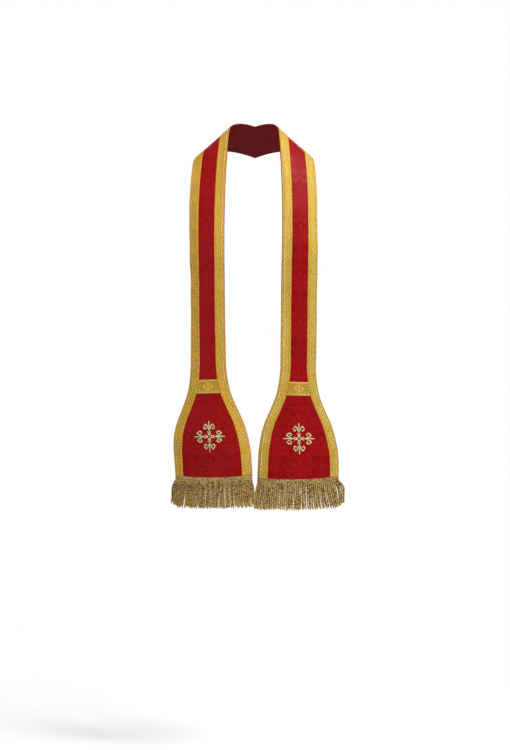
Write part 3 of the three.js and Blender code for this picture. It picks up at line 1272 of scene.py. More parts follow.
@dataclass(frozen=True)
class GoldFinish:
    """Woven gold braid: metal thread over yellow silk."""

    kind: GoldKind
    thread: Colour = linear(224, 182, 60)
    light: Colour = linear(240, 210, 110)
    border: Colour = linear(213, 153, 36)
    dark: Colour = linear(176, 109, 18)
    gap: Colour = linear(98, 58, 10)
    sheen: Colour = (1.0, 0.82, 0.45)
    patch: float = 30.0 * MM
    glint: float = 3.4 * MM
    metal: float = 0.29
    rough: float = 0.43
    weft_pitch: float = 0.7 * MM
    weft_lean: float = 1.35
    depth: float = 0.16 * MM

    def material(self) -> Material:
        """The finish as a material."""
        surface = Surface(self.kind.value, 0.5, self.sheen)
        mottle = surface.mottle(surface.object, self.patch, 5.0)
        glint = surface.mottle(surface.scaled(1.0, 1.3, 1.0), self.glint, 9.0)
        effect = BarMasks() if self.kind is GoldKind.BAR else BraidMasks()
        masks = effect.place(surface.nodes, {"Place": surface.flat})
        gap = masks["Gap"]
        coats = ((masks[name] * share, getattr(self, colour)) for name, share, colour in effect.coats)
        # Glint spots are painted glints in the light colour and painted dark specks in the dark one. The
        # gap mask's open diamonds take painted shade in the gap colour. The mottle coat is random tone.
        surface.give("Base Color", surface.layered(
            self.thread, *coats, (mottle * 0.30, self.border), (glint.ease(0.45, 1.0) * 0.6, self.light),
            (glint.ease(0.5, 0.0) * 0.45, self.dark), (gap, self.gap),
        ))
        surface.give("Metallic", gap * -0.22 + self.metal)
        surface.give("Roughness", gap * 0.24 + glint * 0.12 + self.rough)
        weft = surface.ribs(self.weft_pitch, self.weft_lean)
        surface.relief(weft * 0.6 + glint * 0.4, self.depth)
        return surface.material


@dataclass(frozen=True)
class ThreadFinish:
    """Spun thread, such as sewing thread, lit along its length, darker in its random spots, and darker in
    the hollows between its ribs as painted shade.
    """

    name: str
    light: Colour
    dark: Colour
    metal: float
    rough: float
    pitch: float
    lean: float = 1.57
    depth: float = 0.10 * MM
    seed: float = 1.0
    spots: float = 0.45
    spot_size: float = 4.0 * MM
    patch: float = 30.0 * MM
    worn: float = 0.15
    sheen: Colour = (1.0, 0.85, 0.6)

    def material(self) -> Material:
        """The finish as a material."""
        surface = Surface(self.name, 0.5, self.sheen, Metallic=self.metal)
        spots = surface.mottle(surface.object, self.spot_size, self.seed)
        wide = surface.mottle(surface.object, self.patch, self.seed + 4)
        ribs = surface.ribs(self.pitch, self.lean)
        # The hollows between the ribs are painted darker, as painted shade. The spots and wide patches are
        # random tone.
        shade = self._shaded(surface, spots * self.spots + wide * 0.25 + ribs * -0.2 + self.worn)
        surface.give("Base Color", surface.layered(self.light, (shade.high(0.0).low(1.0), self.dark)))
        surface.give("Roughness", spots * 0.12 + self.rough)
        surface.relief(ribs, self.depth)
        return surface.material

    def _shaded(self, surface: Surface, shade: Field) -> Field:
        """How dark the thread is, from 0 to 1, with what darkens its own kind."""
        return shade


@dataclass(frozen=True)
class SatinStitchFinish(ThreadFinish):
    """Embroidery silk, with painted shade where a stroke of stitches turns down at its sides."""

    # How strongly the sides of each stroke take painted shade.
    sides: float = 0.95
    side_reach: tuple[float, float] = (0.6 * MM, 1.15 * MM)

    def _shaded(self, surface: Surface, shade: Field) -> Field:
        """See ThreadFinish."""
        return shade + surface.across.abs().ease(*self.side_reach) * self.sides


@dataclass(frozen=True)
class BullionFinish(ThreadFinish):
    """Twisted cords: each of its own tone, with painted shade in the groove of its twist and on the cords
    of the back layer, and painted glints and dark specks here and there.
    """

    tone: float = 1.2 * MM
    dull: float = 4.8 * MM
    groove: float = 0.8

    def _shaded(self, surface: Surface, shade: Field) -> Field:
        """See ThreadFinish."""
        tone = surface.mottle(surface.scaled(1.0, 0.02, 1.0), self.tone, 8.0)
        dull = surface.mottle(surface.scaled(40.0, 1.0, 1.0), self.dull, 3.0)
        # Cords of the back layer, marked by a negative flat x, get painted shade. The sparkle noise gives
        # painted glints and dark specks, and the tone noise gives each cord its own random tone.
        behind = surface.across.ease(0.0, -0.1 * MM)
        shade = shade + tone * 0.3 + dull.ease(0.25, 0.9) * 0.95 + behind * 0.3
        # Painted shade in the groove of the twist, and one strand of each pair in a darker tone.
        groove = surface.nodes.field("ShaderNodeAttribute", None, "Fac", attribute_name=GROOVE)
        near = groove.abs().ease(0.8, 0.45) * self.groove
        return shade.high(0.0) + near + groove.ease(-0.05, 0.05) * 0.3


@dataclass(frozen=True)
class FloorFinish:
    """Plain pale studio floor, which melts into its surroundings towards its rim."""

    shade: Colour = (0.96, 0.96, 0.96)
    patch: float = 1.5
    fade: tuple[float, float] = (0.15, 1.5)

    def material(self) -> Material:
        """The finish as a material."""
        surface = Surface("studio floor", 0.1, (1.0, 1.0, 1.0), Roughness=0.9)
        nodes = surface.nodes
        mottle = surface.mottle(surface.object, self.patch, 1.0)
        pale = tuple(c * 0.99 for c in self.shade)
        surface.give("Base Color", surface.layered(self.shade, (mottle, pale)))
        x, y = surface.object.parts()
        fade = nodes.field("ShaderNodeMixShader", {
            0: x.beside(y).ease(*self.fade), 1: surface.shader.outputs[0],
            2: nodes.field("ShaderNodeBsdfTransparent"),
        })
        nodes.give(surface.end.inputs["Surface"], fade)
        return surface.material


class Finishes:
    """Every finish of the stole, as materials made once."""

    def __init__(self) -> None:
        """Makes all the materials."""
        self.damask = DamaskFinish().material()
        self.lining = LiningFinish().material()
        # The three braid finishes below are one braid in a plain, a lit and a shaded copy. The lit copy's
        # lighter threads and open diamonds and the shaded copy's darker ones are painted light and shade.
        self.braid = GoldFinish(GoldKind.BRAID, gap=linear(170, 124, 40)).material()
        self.pale_braid = GoldFinish(
            GoldKind.PALE, thread=linear(214, 186, 74), light=linear(232, 214, 120),
            border=linear(206, 156, 42), gap=linear(176, 138, 52),
        ).material()
        self.open_braid = GoldFinish(GoldKind.OPEN, gap=linear(128, 88, 26)).material()
        self.bar = GoldFinish(
            GoldKind.BAR, thread=linear(212, 178, 62), light=linear(230, 204, 112),
            gap=linear(132, 94, 30),
        ).material()
        self.bead = ThreadFinish(
            "bright gold thread", linear(246, 222, 140), linear(206, 160, 60),
            metal=0.6, rough=0.30, pitch=0.6 * MM,
        ).material()
        self.sewing = ThreadFinish(
            "yellow sewing thread", linear(226, 180, 70), linear(190, 138, 40),
            metal=0.2, rough=0.5, pitch=0.4 * MM, lean=1.2,
        ).material()
        self.red_thread = ThreadFinish(
            "red sewing thread", linear(150, 20, 28), linear(96, 8, 14),
            metal=0.0, rough=0.5, pitch=0.4 * MM, lean=1.2,
        ).material()
        self.embroidery = SatinStitchFinish(
            "pale gold embroidery silk", linear(246, 242, 182), linear(112, 92, 34),
            metal=0.10, rough=0.42, pitch=0.5 * MM, spots=0.2, worn=-0.1,
        ).material()
        self.bullion = BullionFinish(
            "twisted bullion", linear(252, 220, 132), linear(112, 56, 11), metal=0.26, rough=0.34,
            pitch=0.5 * MM, depth=0.12 * MM, spots=0.2, spot_size=2.8 * MM, worn=-0.60,
        ).material()
        self.heading = ThreadFinish(
            "fringe heading thread", linear(246, 218, 150), linear(100, 73, 33), metal=0.20, rough=0.40,
            pitch=0.5 * MM, depth=0.12 * MM, seed=3.0, spots=0.8, spot_size=2.6 * MM,
        ).material()


# Repeats, made by Geometry Nodes
# -------------------------------


class Guides:
    """Lines that repeats follow, each point with the directions and size of what lies on it."""

    def __init__(self) -> None:
        """Starts with no lines."""
        self.lines: list[dict[str, Array]] = []

    def add(self, points: Array, **values: Array) -> None:
        """Adds a line, each of its points carrying vectors or numbers by name."""
        self.lines.append({"points": points, **values})

    def add_stitches(self, points: Array, side: Array, up: Array, size: Triple) -> None:
        """Adds a line of like stitches, of half sizes along side, across it and up, in millimetres."""
        self.add(points, side=side, up=up, size=np.tile(np.array(size) * MM, (len(points), 1)))

    def make(self, name: str) -> Object:
        """Makes the lines an object of edges, with what they carry as attributes."""
        carried = {key: np.concatenate([line[key] for line in self.lines]) for key in self.lines[0]}
        points = carried.pop("points")
        ends = np.cumsum([len(line["points"]) for line in self.lines])
        starts = np.setdiff1d(np.arange(len(points)), ends - 1)
        edges = np.stack([starts, starts + 1], axis=1)
        mesh = bpy.data.meshes.new(name)
        mesh.vertices.add(len(points))
        mesh.vertices.foreach_set("co", points.astype(np.float32).ravel())
        mesh.edges.add(len(edges))
        mesh.edges.foreach_set("vertices", edges.astype(np.int32).ravel())
        for key, values in carried.items():
            kind, slot = ("FLOAT_VECTOR", "vector") if values.ndim == 2 else ("FLOAT", "value")
            made = mesh.attributes.new(key, kind, "POINT")
            made.data.foreach_set(slot, values.astype(np.float32).ravel())
        mesh.update()
        return linked(name, mesh)


class Repeat(Effect):
    """A Geometry Nodes tree that turns guides into a mesh."""

    kind = "GeometryNodeTree"
    outputs = ("Mesh",)
    gives = "Geometry"
    kept = {FLAT, GROOVE, "position", "sharp_face", "material_index"}

    @staticmethod
    def carried(nodes: Nodes, name: str, kind: str = "FLOAT_VECTOR") -> Field:
        """What the guides carry under a name."""
        inputs = {"Name": name}
        return nodes.field("GeometryNodeInputNamedAttribute", inputs, "Attribute", data_type=kind)

    @staticmethod
    def stored(geometry: Field, name: str, value: Field, kind: str = "FLOAT_VECTOR") -> Field:
        """Geometry whose points keep a value under a name."""
        inputs = {"Geometry": geometry, "Name": name, "Value": value}
        kinds = {"data_type": kind, "domain": "POINT"}
        return geometry.nodes.field("GeometryNodeStoreNamedAttribute", inputs, **kinds)

    @staticmethod
    def even(guides: Field, step: Field) -> Field:
        """The guides as curves with a point at every step."""
        curve = guides.nodes.field("GeometryNodeMeshToCurve", {"Mesh": guides})
        inputs = {"Curve": curve, "Length": step}
        return guides.nodes.field("GeometryNodeResampleCurve", inputs, mode="LENGTH")

    @staticmethod
    def finished(made: Field, material: Field) -> dict[str, Field]:
        """The tree's output: what is made, as one smooth mesh of a material."""
        real = made.nodes.field("GeometryNodeRealizeInstances", {"Geometry": made})
        smooth = made.nodes.field("GeometryNodeSetShadeSmooth", {"Geometry": real})
        inputs = {"Geometry": smooth, "Material": material}
        return {"Mesh": made.nodes.field("GeometryNodeSetMaterial", inputs)}

    def make(self, name: str, guides: Guides, values: dict[str, object]) -> Object:
        """Makes a piece.

        Args:
            name: the piece's name.
            guides: the lines that it follows.
            values: the tree's inputs, by name.

        Returns:
            The piece as a plain mesh.
        """
        guide = guides.make(name + "_guides")
        modifier = guide.modifiers.new(self.name, "NODES")
        modifier.node_group = self.tree()
        for item in modifier.node_group.interface.items_tree:
            if item.in_out == "INPUT" and item.name in values:
                modifier[item.identifier] = values[item.name]
        bpy.context.view_layer.update()
        graph = bpy.context.evaluated_depsgraph_get()
        mesh = bpy.data.meshes.new_from_object(guide.evaluated_get(graph), depsgraph=graph)
        mesh.name = name
        guide.modifiers.remove(modifier)
        old = guide.data
        bpy.data.objects.remove(guide)
        bpy.data.meshes.remove(old)
        for attribute in [a.name for a in mesh.attributes if a.name not in self.kept]:
            if not attribute.startswith("."):
                mesh.attributes.remove(mesh.attributes[attribute])
        return linked(name, mesh)


class StitchRow(Repeat):
    """Small rounded stitches or beads along lines: each lies across "side" and stands out "up"."""

    name = "stitch row"
    inputs = {
        "Guides": "Geometry", "Spacing": 2.0 * MM, "Around": 6, "Rings": 4, "Material": "Material",
    }
    thread = 1.2 * MM

    def draw(self, nodes: Nodes, given: dict[str, Field]) -> dict[str, Field]:
        """See Effect."""
        inputs = {"Segments": given["Around"], "Rings": given["Rings"], "Radius": 1.0}
        ball = nodes.field("GeometryNodeMeshUVSphere", inputs)
        inputs = {"Geometry": ball, "Rotation": (0.0, math.pi / 2, 0.0)}
        bead = nodes.field("GeometryNodeTransform", inputs)
        inputs = {0: nodes.field("GeometryNodeInputPosition"), "Scale": self.thread}
        small = nodes.field("ShaderNodeVectorMath", inputs, operation="SCALE")
        inputs = {0: self.carried(nodes, "side"), 1: self.carried(nodes, "up")}
        axes = {"primary_axis": "X", "secondary_axis": "Z"}
        rows = nodes.field("GeometryNodeInstanceOnPoints", {
            "Points": self.even(given["Guides"], given["Spacing"]),
            "Instance": self.stored(bead, FLAT, small),
            "Rotation": nodes.field("FunctionNodeAxesToRotation", inputs, **axes),
            "Scale": self.carried(nodes, "size"),
        })
        return self.finished(rows, given["Material"])


class TwistedCord(Repeat):
    """Two strands twisted together along each line, drawn in to a round tip at its ends."""

    name = "twisted cord"
    inputs = {
        "Guides": "Geometry", "Strand": 0.75 * MM, "Pitch": 6.4 * MM, "Step": 0.8 * MM, "Sides": 6,
        "Tip": 1.6 * MM, "Material": "Material",
    }
    pressed = 0.93
    blunt = 0.05

    def draw(self, nodes: Nodes, given: dict[str, Field]) -> dict[str, Field]:
        """See Effect."""
        even = self.even(given["Guides"], given["Step"])
        run = nodes.field("GeometryNodeSplineParameter", None, "Length")
        whole = nodes.field("GeometryNodeSplineLength", None, "Length")
        phase = self.carried(nodes, "phase", "FLOAT")
        size = self._size((whole - run) / given["Tip"])
        inputs = {"Curve": even, "Tilt": run / given["Pitch"] * math.tau + phase}
        tilted = nodes.field("GeometryNodeSetCurveTilt", inputs)
        sized = nodes.field("GeometryNodeSetCurveRadius", {"Curve": tilted, "Radius": size})
        flat = nodes.field("ShaderNodeCombineXYZ", {0: phase * MM, 1: run})
        cord = nodes.add("GeometryNodeCurveToMesh", {
            "Curve": self.stored(sized, FLAT, flat),
            "Profile Curve": self._pair(given["Strand"], given["Sides"]),
            "Fill Caps": True,
        })
        for scale in (socket for socket in cord.inputs if socket.name == "Scale"):
            nodes.give(scale, size)
        return self.finished(Field(nodes, cord.outputs[0]), given["Material"])

    def _size(self, near: Field) -> Field:
        """How thick the cord is at a distance from its end, in lengths of its tip."""
        radius = (near * (near * -1.0 + 2.0)).high(self.blunt).math("SQRT")
        inputs = {"Factor": near.math("GREATER_THAN", 1.0), "A": radius, "B": 1.0}
        return near.nodes.field("ShaderNodeMix", inputs, data_type="FLOAT")

    def _pair(self, strand: Field, sides: Field) -> Field:
        """The section of the cord: two round strands pressed together, marked from their groove."""
        nodes = strand.nodes
        inputs = {"Resolution": sides, "Radius": strand}
        circle = nodes.field("GeometryNodeCurvePrimitiveCircle", inputs, mode="RADIUS")
        place = nodes.field("GeometryNodeInputPosition")
        far = nodes.field("ShaderNodeVectorMath", {0: place}, operation="LENGTH")
        far = far / (strand * (1.0 + self.pressed)) * place.parts()[0].math("SIGN")
        pair = nodes.add("GeometryNodeJoinGeometry")
        for side in (self.pressed, -self.pressed):
            shift = nodes.field("ShaderNodeCombineXYZ", {0: strand * side})
            inputs = {"Geometry": circle, "Translation": shift}
            nodes.give(pair.inputs[0], nodes.field("GeometryNodeTransform", inputs))
        return self.stored(Field(nodes, pair.outputs[0]), GROOVE, far, "FLOAT")


# The pieces of one half
# ----------------------


def keep(piece: Object, slot: str, *nodes: str) -> Object:
    """Ties a piece to the frame and reports it.

    Args:
        piece: the piece.
        slot: not used.
        nodes: the frame's nodes that it stands for.

    Returns:
        The piece.
    """
    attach(piece, BODY)
    if nodes:
        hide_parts(*nodes)
    LOG.info("%s: %d faces", piece.name, len(piece.data.polygons))
    return piece


def sew(name: str, guides: Guides, finish: Material, spacing: float, around: int = 6,
        rings: int = 4) -> Object:
    """Makes rows of stitches or beads at a spacing, each with its sides around and rings of points."""
    values = {"Spacing": spacing, "Around": around, "Rings": rings, "Material": finish}
    return StitchRow().make(name, guides, values)


@dataclass
class OnBand:
    """What is sewn to one half of the band."""

    band: WornBand

    @property
    def cut(self) -> Cut:
        """The flat cut."""
        return self.band.cut

    @property
    def name(self) -> str:
        """The half's name."""
        return self.band.half.name

    @property
    def side(self) -> int:
        """1 on the wearer's left and -1 on the right."""
        return self.band.half.side

    def grid(self, reach: Array, count: int) -> Array:
        """Rows of even places across the band, as far as a reach to either side."""
        return np.linspace(-1.0, 1.0, count)[None, :] * reach

    def cloth(self, name: str, rows: tuple[Array, Array], heights: tuple[Array, Array], flat: Array,
              finish: Material, columns: slice | list[int] = slice(None)) -> Object:
        """Makes cloth or braid over a grid of the band.

        Args:
            name: the piece's name.
            rows: the grid's places along the band and across it.
            heights: of the side that shows and of the other side.
            flat: the flat coordinates of the grid.
            finish: the material.
            columns: the columns that the other side has.

        Returns:
            The piece.
        """
        maker = MeshMaker(name)
        under = (np.broadcast_to(values, flat.shape[:2])[:, columns] for values in (*rows, heights[1]))
        maker.add_cloth(self.band.lay(*rows, heights[0]), self.band.lay(*under), flat, self.side < 0)
        return maker.make(finish)

    def tape(self, name: str, rows: tuple[Array, Array], relief: Array, flat: Array,
             finish: Material) -> Object:
        """Makes braid over a grid of the band, with a relief over its plain back."""
        heights = (BRAID.low + relief, BRAID.low)
        return self.cloth(name, rows, heights, flat, finish, [0, -1])


@dataclass
class Panel(OnBand):
    """The damask face and its lining."""

    row: float = 2.4 * MM
    lining_row: float = 4.0 * MM
    rim: tuple[float, ...] = (0.0, 0.18, 0.6, 1.2)
    lining_rim: tuple[float, ...] = (0.0, 0.1, 0.3, 0.5, 1.4)
    lining_border: float = 3.0 * MM
    proud: float = 0.8 * MM
    puff: float = 0.45 * MM
    pucker: float = 0.10 * MM
    pucker_length: float = 11.0 * MM
    pucker_reach: float = 7.0 * MM
    slack: float = 0.22 * MM
    slack_length: float = 37.0 * MM

    def _rows(self, step: float) -> Array:
        """The rows' places along the band."""
        return np.linspace(0.0, self.cut.length, round(self.cut.length / step))[:, None]

    def _columns(self, half: Array, rim: tuple[float, ...], middle: Array) -> Array:
        """Places across the band, close together at its rolled edges."""
        edge = np.array(rim)[None, :] * MM
        return np.concatenate([-half + edge, middle, (half - edge)[:, ::-1]], axis=1)

    def _field_puff(self, place: Array, across: Array) -> Array:
        """How the damask stands up between its braids, with slight puckers where they are sewn."""
        inner = self.cut.half_width(place) - self.cut.braid
        share = np.clip(across / inner, -1.0, 1.0)
        near = np.exp(-((1.0 - np.abs(share)) * inner / self.pucker_reach))
        uneven = 2.0 * np.sin(place * 41.0 + self.band.half.phase)
        wave = np.sin(place * math.tau / self.pucker_length + uneven)
        swell = self.puff * (1.0 - share ** 4) + self.pucker * wave * near * (1.0 - share ** 8)
        return np.where(np.abs(across) < inner, swell, 0.0)

    def face(self, finishes: Finishes) -> Object:
        """Makes the damask face."""
        place = self._rows(self.row)
        half = self.cut.half_width(place)
        across = self._columns(half, self.rim, self.grid(half - self.cut.braid, 31))
        place = self.cut.dipped(place, across)
        top, under = rounded(half - np.abs(across), FACE)
        heights = (top + self._field_puff(place, across), under)
        flat = self.band.flat(place, across)
        piece = self.cloth(f"damask_{self.name}", (place, across), heights, flat, finishes.damask)
        return keep(piece, "damask", f"face_{self.name}")

    def lining(self, finishes: Finishes) -> Object:
        """Makes the lining, a little proud of the face at its edges."""
        place = self._rows(self.lining_row)
        half = self.cut.half_width(place) + self.proud
        across = self._columns(half, self.lining_rim, self.grid(half - self.lining_border, 17))
        place = self.cut.dipped(place, across, self.proud)
        top, under = rounded(half - np.abs(across), LINING)
        soft = self.slack * np.sin(place * math.tau / self.slack_length + across * 60.0)
        inside = smoothstep(1.0 * MM, 9.0 * MM, half - np.abs(across))
        heights = (top, under + np.maximum(soft, 0.0) * inside)
        flat = self.band.flat(place, across)
        piece = self.cloth(f"satin_lining_{self.name}", (place, across), heights, flat, finishes.lining)
        return keep(piece, "lining", f"lining_{self.name}")


@dataclass
class Braid(OnBand):
    """The gold braid along one edge of a half."""

    edge: int = 1
    start: float = 12.0 * MM
    pattern: BraidPattern = BraidPattern()
    row: float = 1.15 * MM
    outer_columns: tuple[float, ...] = (0.0, 0.12, 0.45, 1.0, 1.85, 2.7, 3.25, 3.55, 3.7)
    inner_columns: tuple[float, ...] = (0.0, 0.15, 0.5, 1.2, 2.8, 4.4, 5.1, 5.45, 5.6)
    stitch: Triple = (0.22, 1.25, 0.25)
    stitch_lift: float = 0.86 * MM
    bead_lift: float = 0.62 * MM

    @property
    def title(self) -> str:
        """The braid's own name."""
        return f"{'outer' if self.edge > 0 else 'inner'}_{self.name}"

    @property
    def bead(self) -> Triple:
        """The size of a bead: smaller in the outer braids."""
        return (1.55, 2.0, 0.8) if self.edge > 0 else (2.3, 3.1, 0.9)

    def across(self, place: Array, inward: Array) -> Array:
        """Where a distance in from the braid's outer edge lies across the band."""
        return self.edge * (self.cut.half_width(place) - inward)

    def _columns(self) -> Array:
        """The columns' distances in from the outer edge, in the order of the grid."""
        inset = 0.25 * MM
        middle = np.linspace(self.pattern.outer + inset, self.pattern.inner - inset, 19)
        inner = np.array(self.inner_columns) * MM + self.pattern.inner
        columns = np.concatenate([np.array(self.outer_columns) * MM, middle, inner])
        return columns[::-self.edge]

    def body(self, finishes: Finishes) -> Object:
        """Makes the braid with its borders, crossed threads and rosettes in relief."""
        end = self.cut.hem - self.cut.gap
        place = np.linspace(0.0, end, round(end / self.row))[:, None]
        inward = np.broadcast_to(self._columns(), (len(place), len(self._columns())))
        across = self.across(place, inward)
        place = self.cut.dipped(place, across)
        along = self.band.flat(place, across)[..., 1] + self.start
        flat = np.stack([inward, along], axis=-1)
        # The wearer's left braids take the lit copy and the wearer's right outer braid takes the shaded
        # copy: painted light and shade by side.
        if self.side > 0:
            gold = finishes.pale_braid
        else:
            gold = finishes.open_braid if self.edge > 0 else finishes.braid
        height = self.pattern.relief(inward, along)
        piece = self.tape(f"braid_{self.title}", (place, across), height, flat, gold)
        return keep(piece, "galloon", f"galloon_{self.title}")

    def add_rows(self, beads: Guides, stitches: Guides) -> None:
        """Adds the lines of the braid's beads and of the stitches that hold it down."""
        place = np.linspace(3.0 * MM, self.cut.hem - 3.0 * MM, 520)
        for guides, inward, size, lift in (
            (beads, self.pattern.beads, self.bead, self.bead_lift),
            (stitches, 1.0 * MM, self.stitch, self.stitch_lift),
            (stitches, self.pattern.width - 1.0 * MM, self.stitch, self.stitch_lift),
        ):
            across = self.across(place, inward)
            points, wide, _, out = self.band.row(self.cut.dipped(place, across), across, BRAID.low + lift)
            guides.add_stitches(points, wide, out, size)


@dataclass
class Bar(OnBand):
    """The braid bar across the top of the spade."""

    pattern: BarPattern = BarPattern()
    step: float = 0.62 * MM
    stitch: Triple = (0.22, 1.25, 0.25)
    stitch_lift: float = 0.84 * MM
    stitch_inset: float = 1.0 * MM

    def body(self, finishes: Finishes) -> Object:
        """Makes the bar with its borders, crossed threads and centre flower in relief."""
        cut = self.cut
        down = np.linspace(0.0, cut.bar_height, round(cut.bar_height / self.step))[:, None]
        place = cut.bar + down
        across = self.grid(cut.half_width(place) - cut.braid - cut.gap, 76)
        down = np.broadcast_to(down, across.shape)
        height = self.pattern.relief(across, down)
        place = cut.dipped(place, across)
        flat = np.stack([across, down], axis=-1)
        piece = self.tape(f"braid_bar_{self.name}", (place, across), height, flat, finishes.bar)
        return keep(piece, "galloon", f"crossbar_{self.name}")

    def add_rows(self, stitches: Guides) -> None:
        """Adds the lines of the stitches that hold the bar down."""
        cut, count = self.cut, 40
        for down in (self.stitch_inset, cut.bar_height - self.stitch_inset):
            place = np.full(count, cut.bar + down)
            inner = cut.half_width(place) - cut.braid - 2 * self.stitch_inset
            across = np.linspace(-1.0, 1.0, count) * inner
            points, _, run, out = self.band.row(place, across, BRAID.low + self.stitch_lift)
            stitches.add_stitches(points, run, out, self.stitch)


@dataclass(frozen=True)
class Stroke:
    """A satin-stitched shape of an arm: points sideways and outwards, with half widths."""

    points: tuple[Triple, ...]
    mirrored: bool = False
    dome: float = 1.0


ARM = (
    Stroke(((0.0, 0.2, 0.5), (0.0, 1.2, 0.8), (0.0, 2.4, 0.4)), False, 0.8),
    Stroke(((0.6, 3.4, 0.7), (1.6, 4.4, 1.2), (2.0, 6.4, 1.3), (1.8, 8.4, 1.1), (1.2, 10.0, 0.5)), True),
    Stroke(((0.0, 5.0, 0.4), (0.0, 7.0, 0.9), (0.0, 9.4, 0.5)), False, 0.7),
    Stroke(((2.0, 8.6, 0.5), (3.0, 10.2, 0.85), (4.5, 12.0, 0.75), (6.2, 13.8, 0.25)), True, 0.8),
    Stroke(((0.0, 10.0, 0.8), (0.0, 14.0, 1.3), (0.0, 18.0, 1.9), (0.0, 22.0, 2.3), (0.0, 26.0, 2.5),
            (0.0, 29.0, 1.9), (0.0, 31.0, 0.9)), False, 1.15),
    Stroke(((0.0, 30.4, 0.9), (0.0, 33.0, 1.15), (0.0, 36.0, 0.9), (0.0, 38.4, 0.3)), False, 0.9),
    Stroke(((1.4, 16.0, 0.4), (2.6, 19.6, 1.1), (4.1, 23.4, 1.6), (6.0, 26.8, 1.9),
            (8.0, 29.0, 1.5), (9.6, 30.2, 0.5)), True, 1.1),
    Stroke(((7.6, 27.4, 0.6), (10.2, 27.0, 1.4), (12.2, 24.8, 1.5), (12.6, 21.8, 1.5), (11.2, 19.0, 1.6),
            (8.9, 18.4, 1.6), (7.5, 20.0, 1.2), (8.0, 21.8, 0.5)), True, 1.1),
)


@dataclass
class Cross(OnBand):
    """The embroidered cross: four like arms of padded satin stitch round a small centre."""

    arm: tuple[Stroke, ...] = ARM
    base: float = FACE.high + 0.1 * MM
    buried: float = 0.25 * MM
    dome: float = 1.15 * MM
    full_width: float = 1.5 * MM
    least_width: float = 0.12 * MM
    pitch: float = 0.46 * MM
    thread: float = 0.30 * MM
    overhang: float = 0.08 * MM
    row: float = 0.9 * MM
    section: tuple[float, ...] = (-1.0, -0.85, -0.5, 0.0, 0.5, 0.85, 1.0)

    def _strokes(self) -> list[tuple[Array, float]]:
        """Every stroke of the cross, as points across and along with half widths, and its dome."""
        made = []
        for quarter in range(4):
            angle = quarter * math.pi / 2
            turn = np.array([[math.cos(angle), -math.sin(angle)], [math.sin(angle), math.cos(angle)]])
            for stroke in self.arm:
                for way in (1, -1) if stroke.mirrored else (1,):
                    rows = np.array(stroke.points) * MM
                    rows[:, 0] *= way
                    rows[:, :2] = rows[:, :2] @ turn.T
                    made.append((rows, stroke.dome))
        return made

    def body(self, finishes: Finishes) -> Object:
        """Makes the padded strokes and the threads laid over them, as one piece."""
        maker, threads = MeshMaker(f"cross_padding_{self.name}"), Guides()
        for rows, dome_share in self._strokes():
            length = float(np.linalg.norm(np.diff(rows[:, :2], axis=0), axis=1).sum())
            path = smooth_path(rows, max(8, round(length / self.row)))
            self._add_stroke(maker, threads, path, dome_share * self.dome)
        padding = maker.make(finishes.embroidery)
        piece = sew(f"stitched_cross_{self.name}", threads, finishes.embroidery, self.pitch, 6, 5)
        return keep(join(piece, padding), "embroidery", f"cross_{self.name}")

    def _add_stroke(self, maker: MeshMaker, threads: Guides, path: Array, crown: float) -> None:
        """Adds one padded stroke and the guide of its threads."""
        run = unit(np.gradient(path[:, :2], axis=0))
        half = np.maximum(path[:, 2], self.least_width)
        lift = crown * np.clip(half / self.full_width, 0.35, 1.15)
        shares = np.array(self.section)
        middle = len(shares) // 2
        x = path[:, 0, None] + run[:, 1, None] * half[:, None] * shares
        y = path[:, 1, None] - run[:, 0, None] * half[:, None] * shares
        height = self.base + lift[:, None] * 0.82 * np.sqrt(1.0 - 0.96 * shares * shares)
        place, across = self.cut.cross - y, x * self.side
        top = self.band.lay(place, across, height)
        under = self.band.lay(place, across, self.base - self.buried)
        steps = np.concatenate([[0.0], np.cumsum(np.linalg.norm(np.diff(path[:, :2], axis=0), axis=1))])
        flat = np.stack(np.broadcast_arrays(half[:, None] * shares, steps[:, None]), axis=-1)
        maker.add_cloth(top, under, flat, False)
        centre, _, _, out = self.band.row(place[:, middle], across[:, middle], self.base)
        sideways = unit(self.band.lay(place[:, -1], across[:, -1], self.base) - centre)
        size = np.stack([half * 1.06 + self.overhang, np.full_like(half, self.thread), lift], axis=1)
        threads.add(centre, side=sideways, up=out, size=size)


def join(piece: Object, other: Object) -> Object:
    """Joins another piece of the same finish into a piece.

    Args:
        piece: the piece that is kept.
        other: the piece that goes into it.

    Returns:
        The kept piece.
    """
    both = [piece, other]
    with bpy.context.temp_override(active_object=piece, object=piece, selected_objects=both,
                                   selected_editable_objects=both):
        bpy.ops.object.join()
    return piece


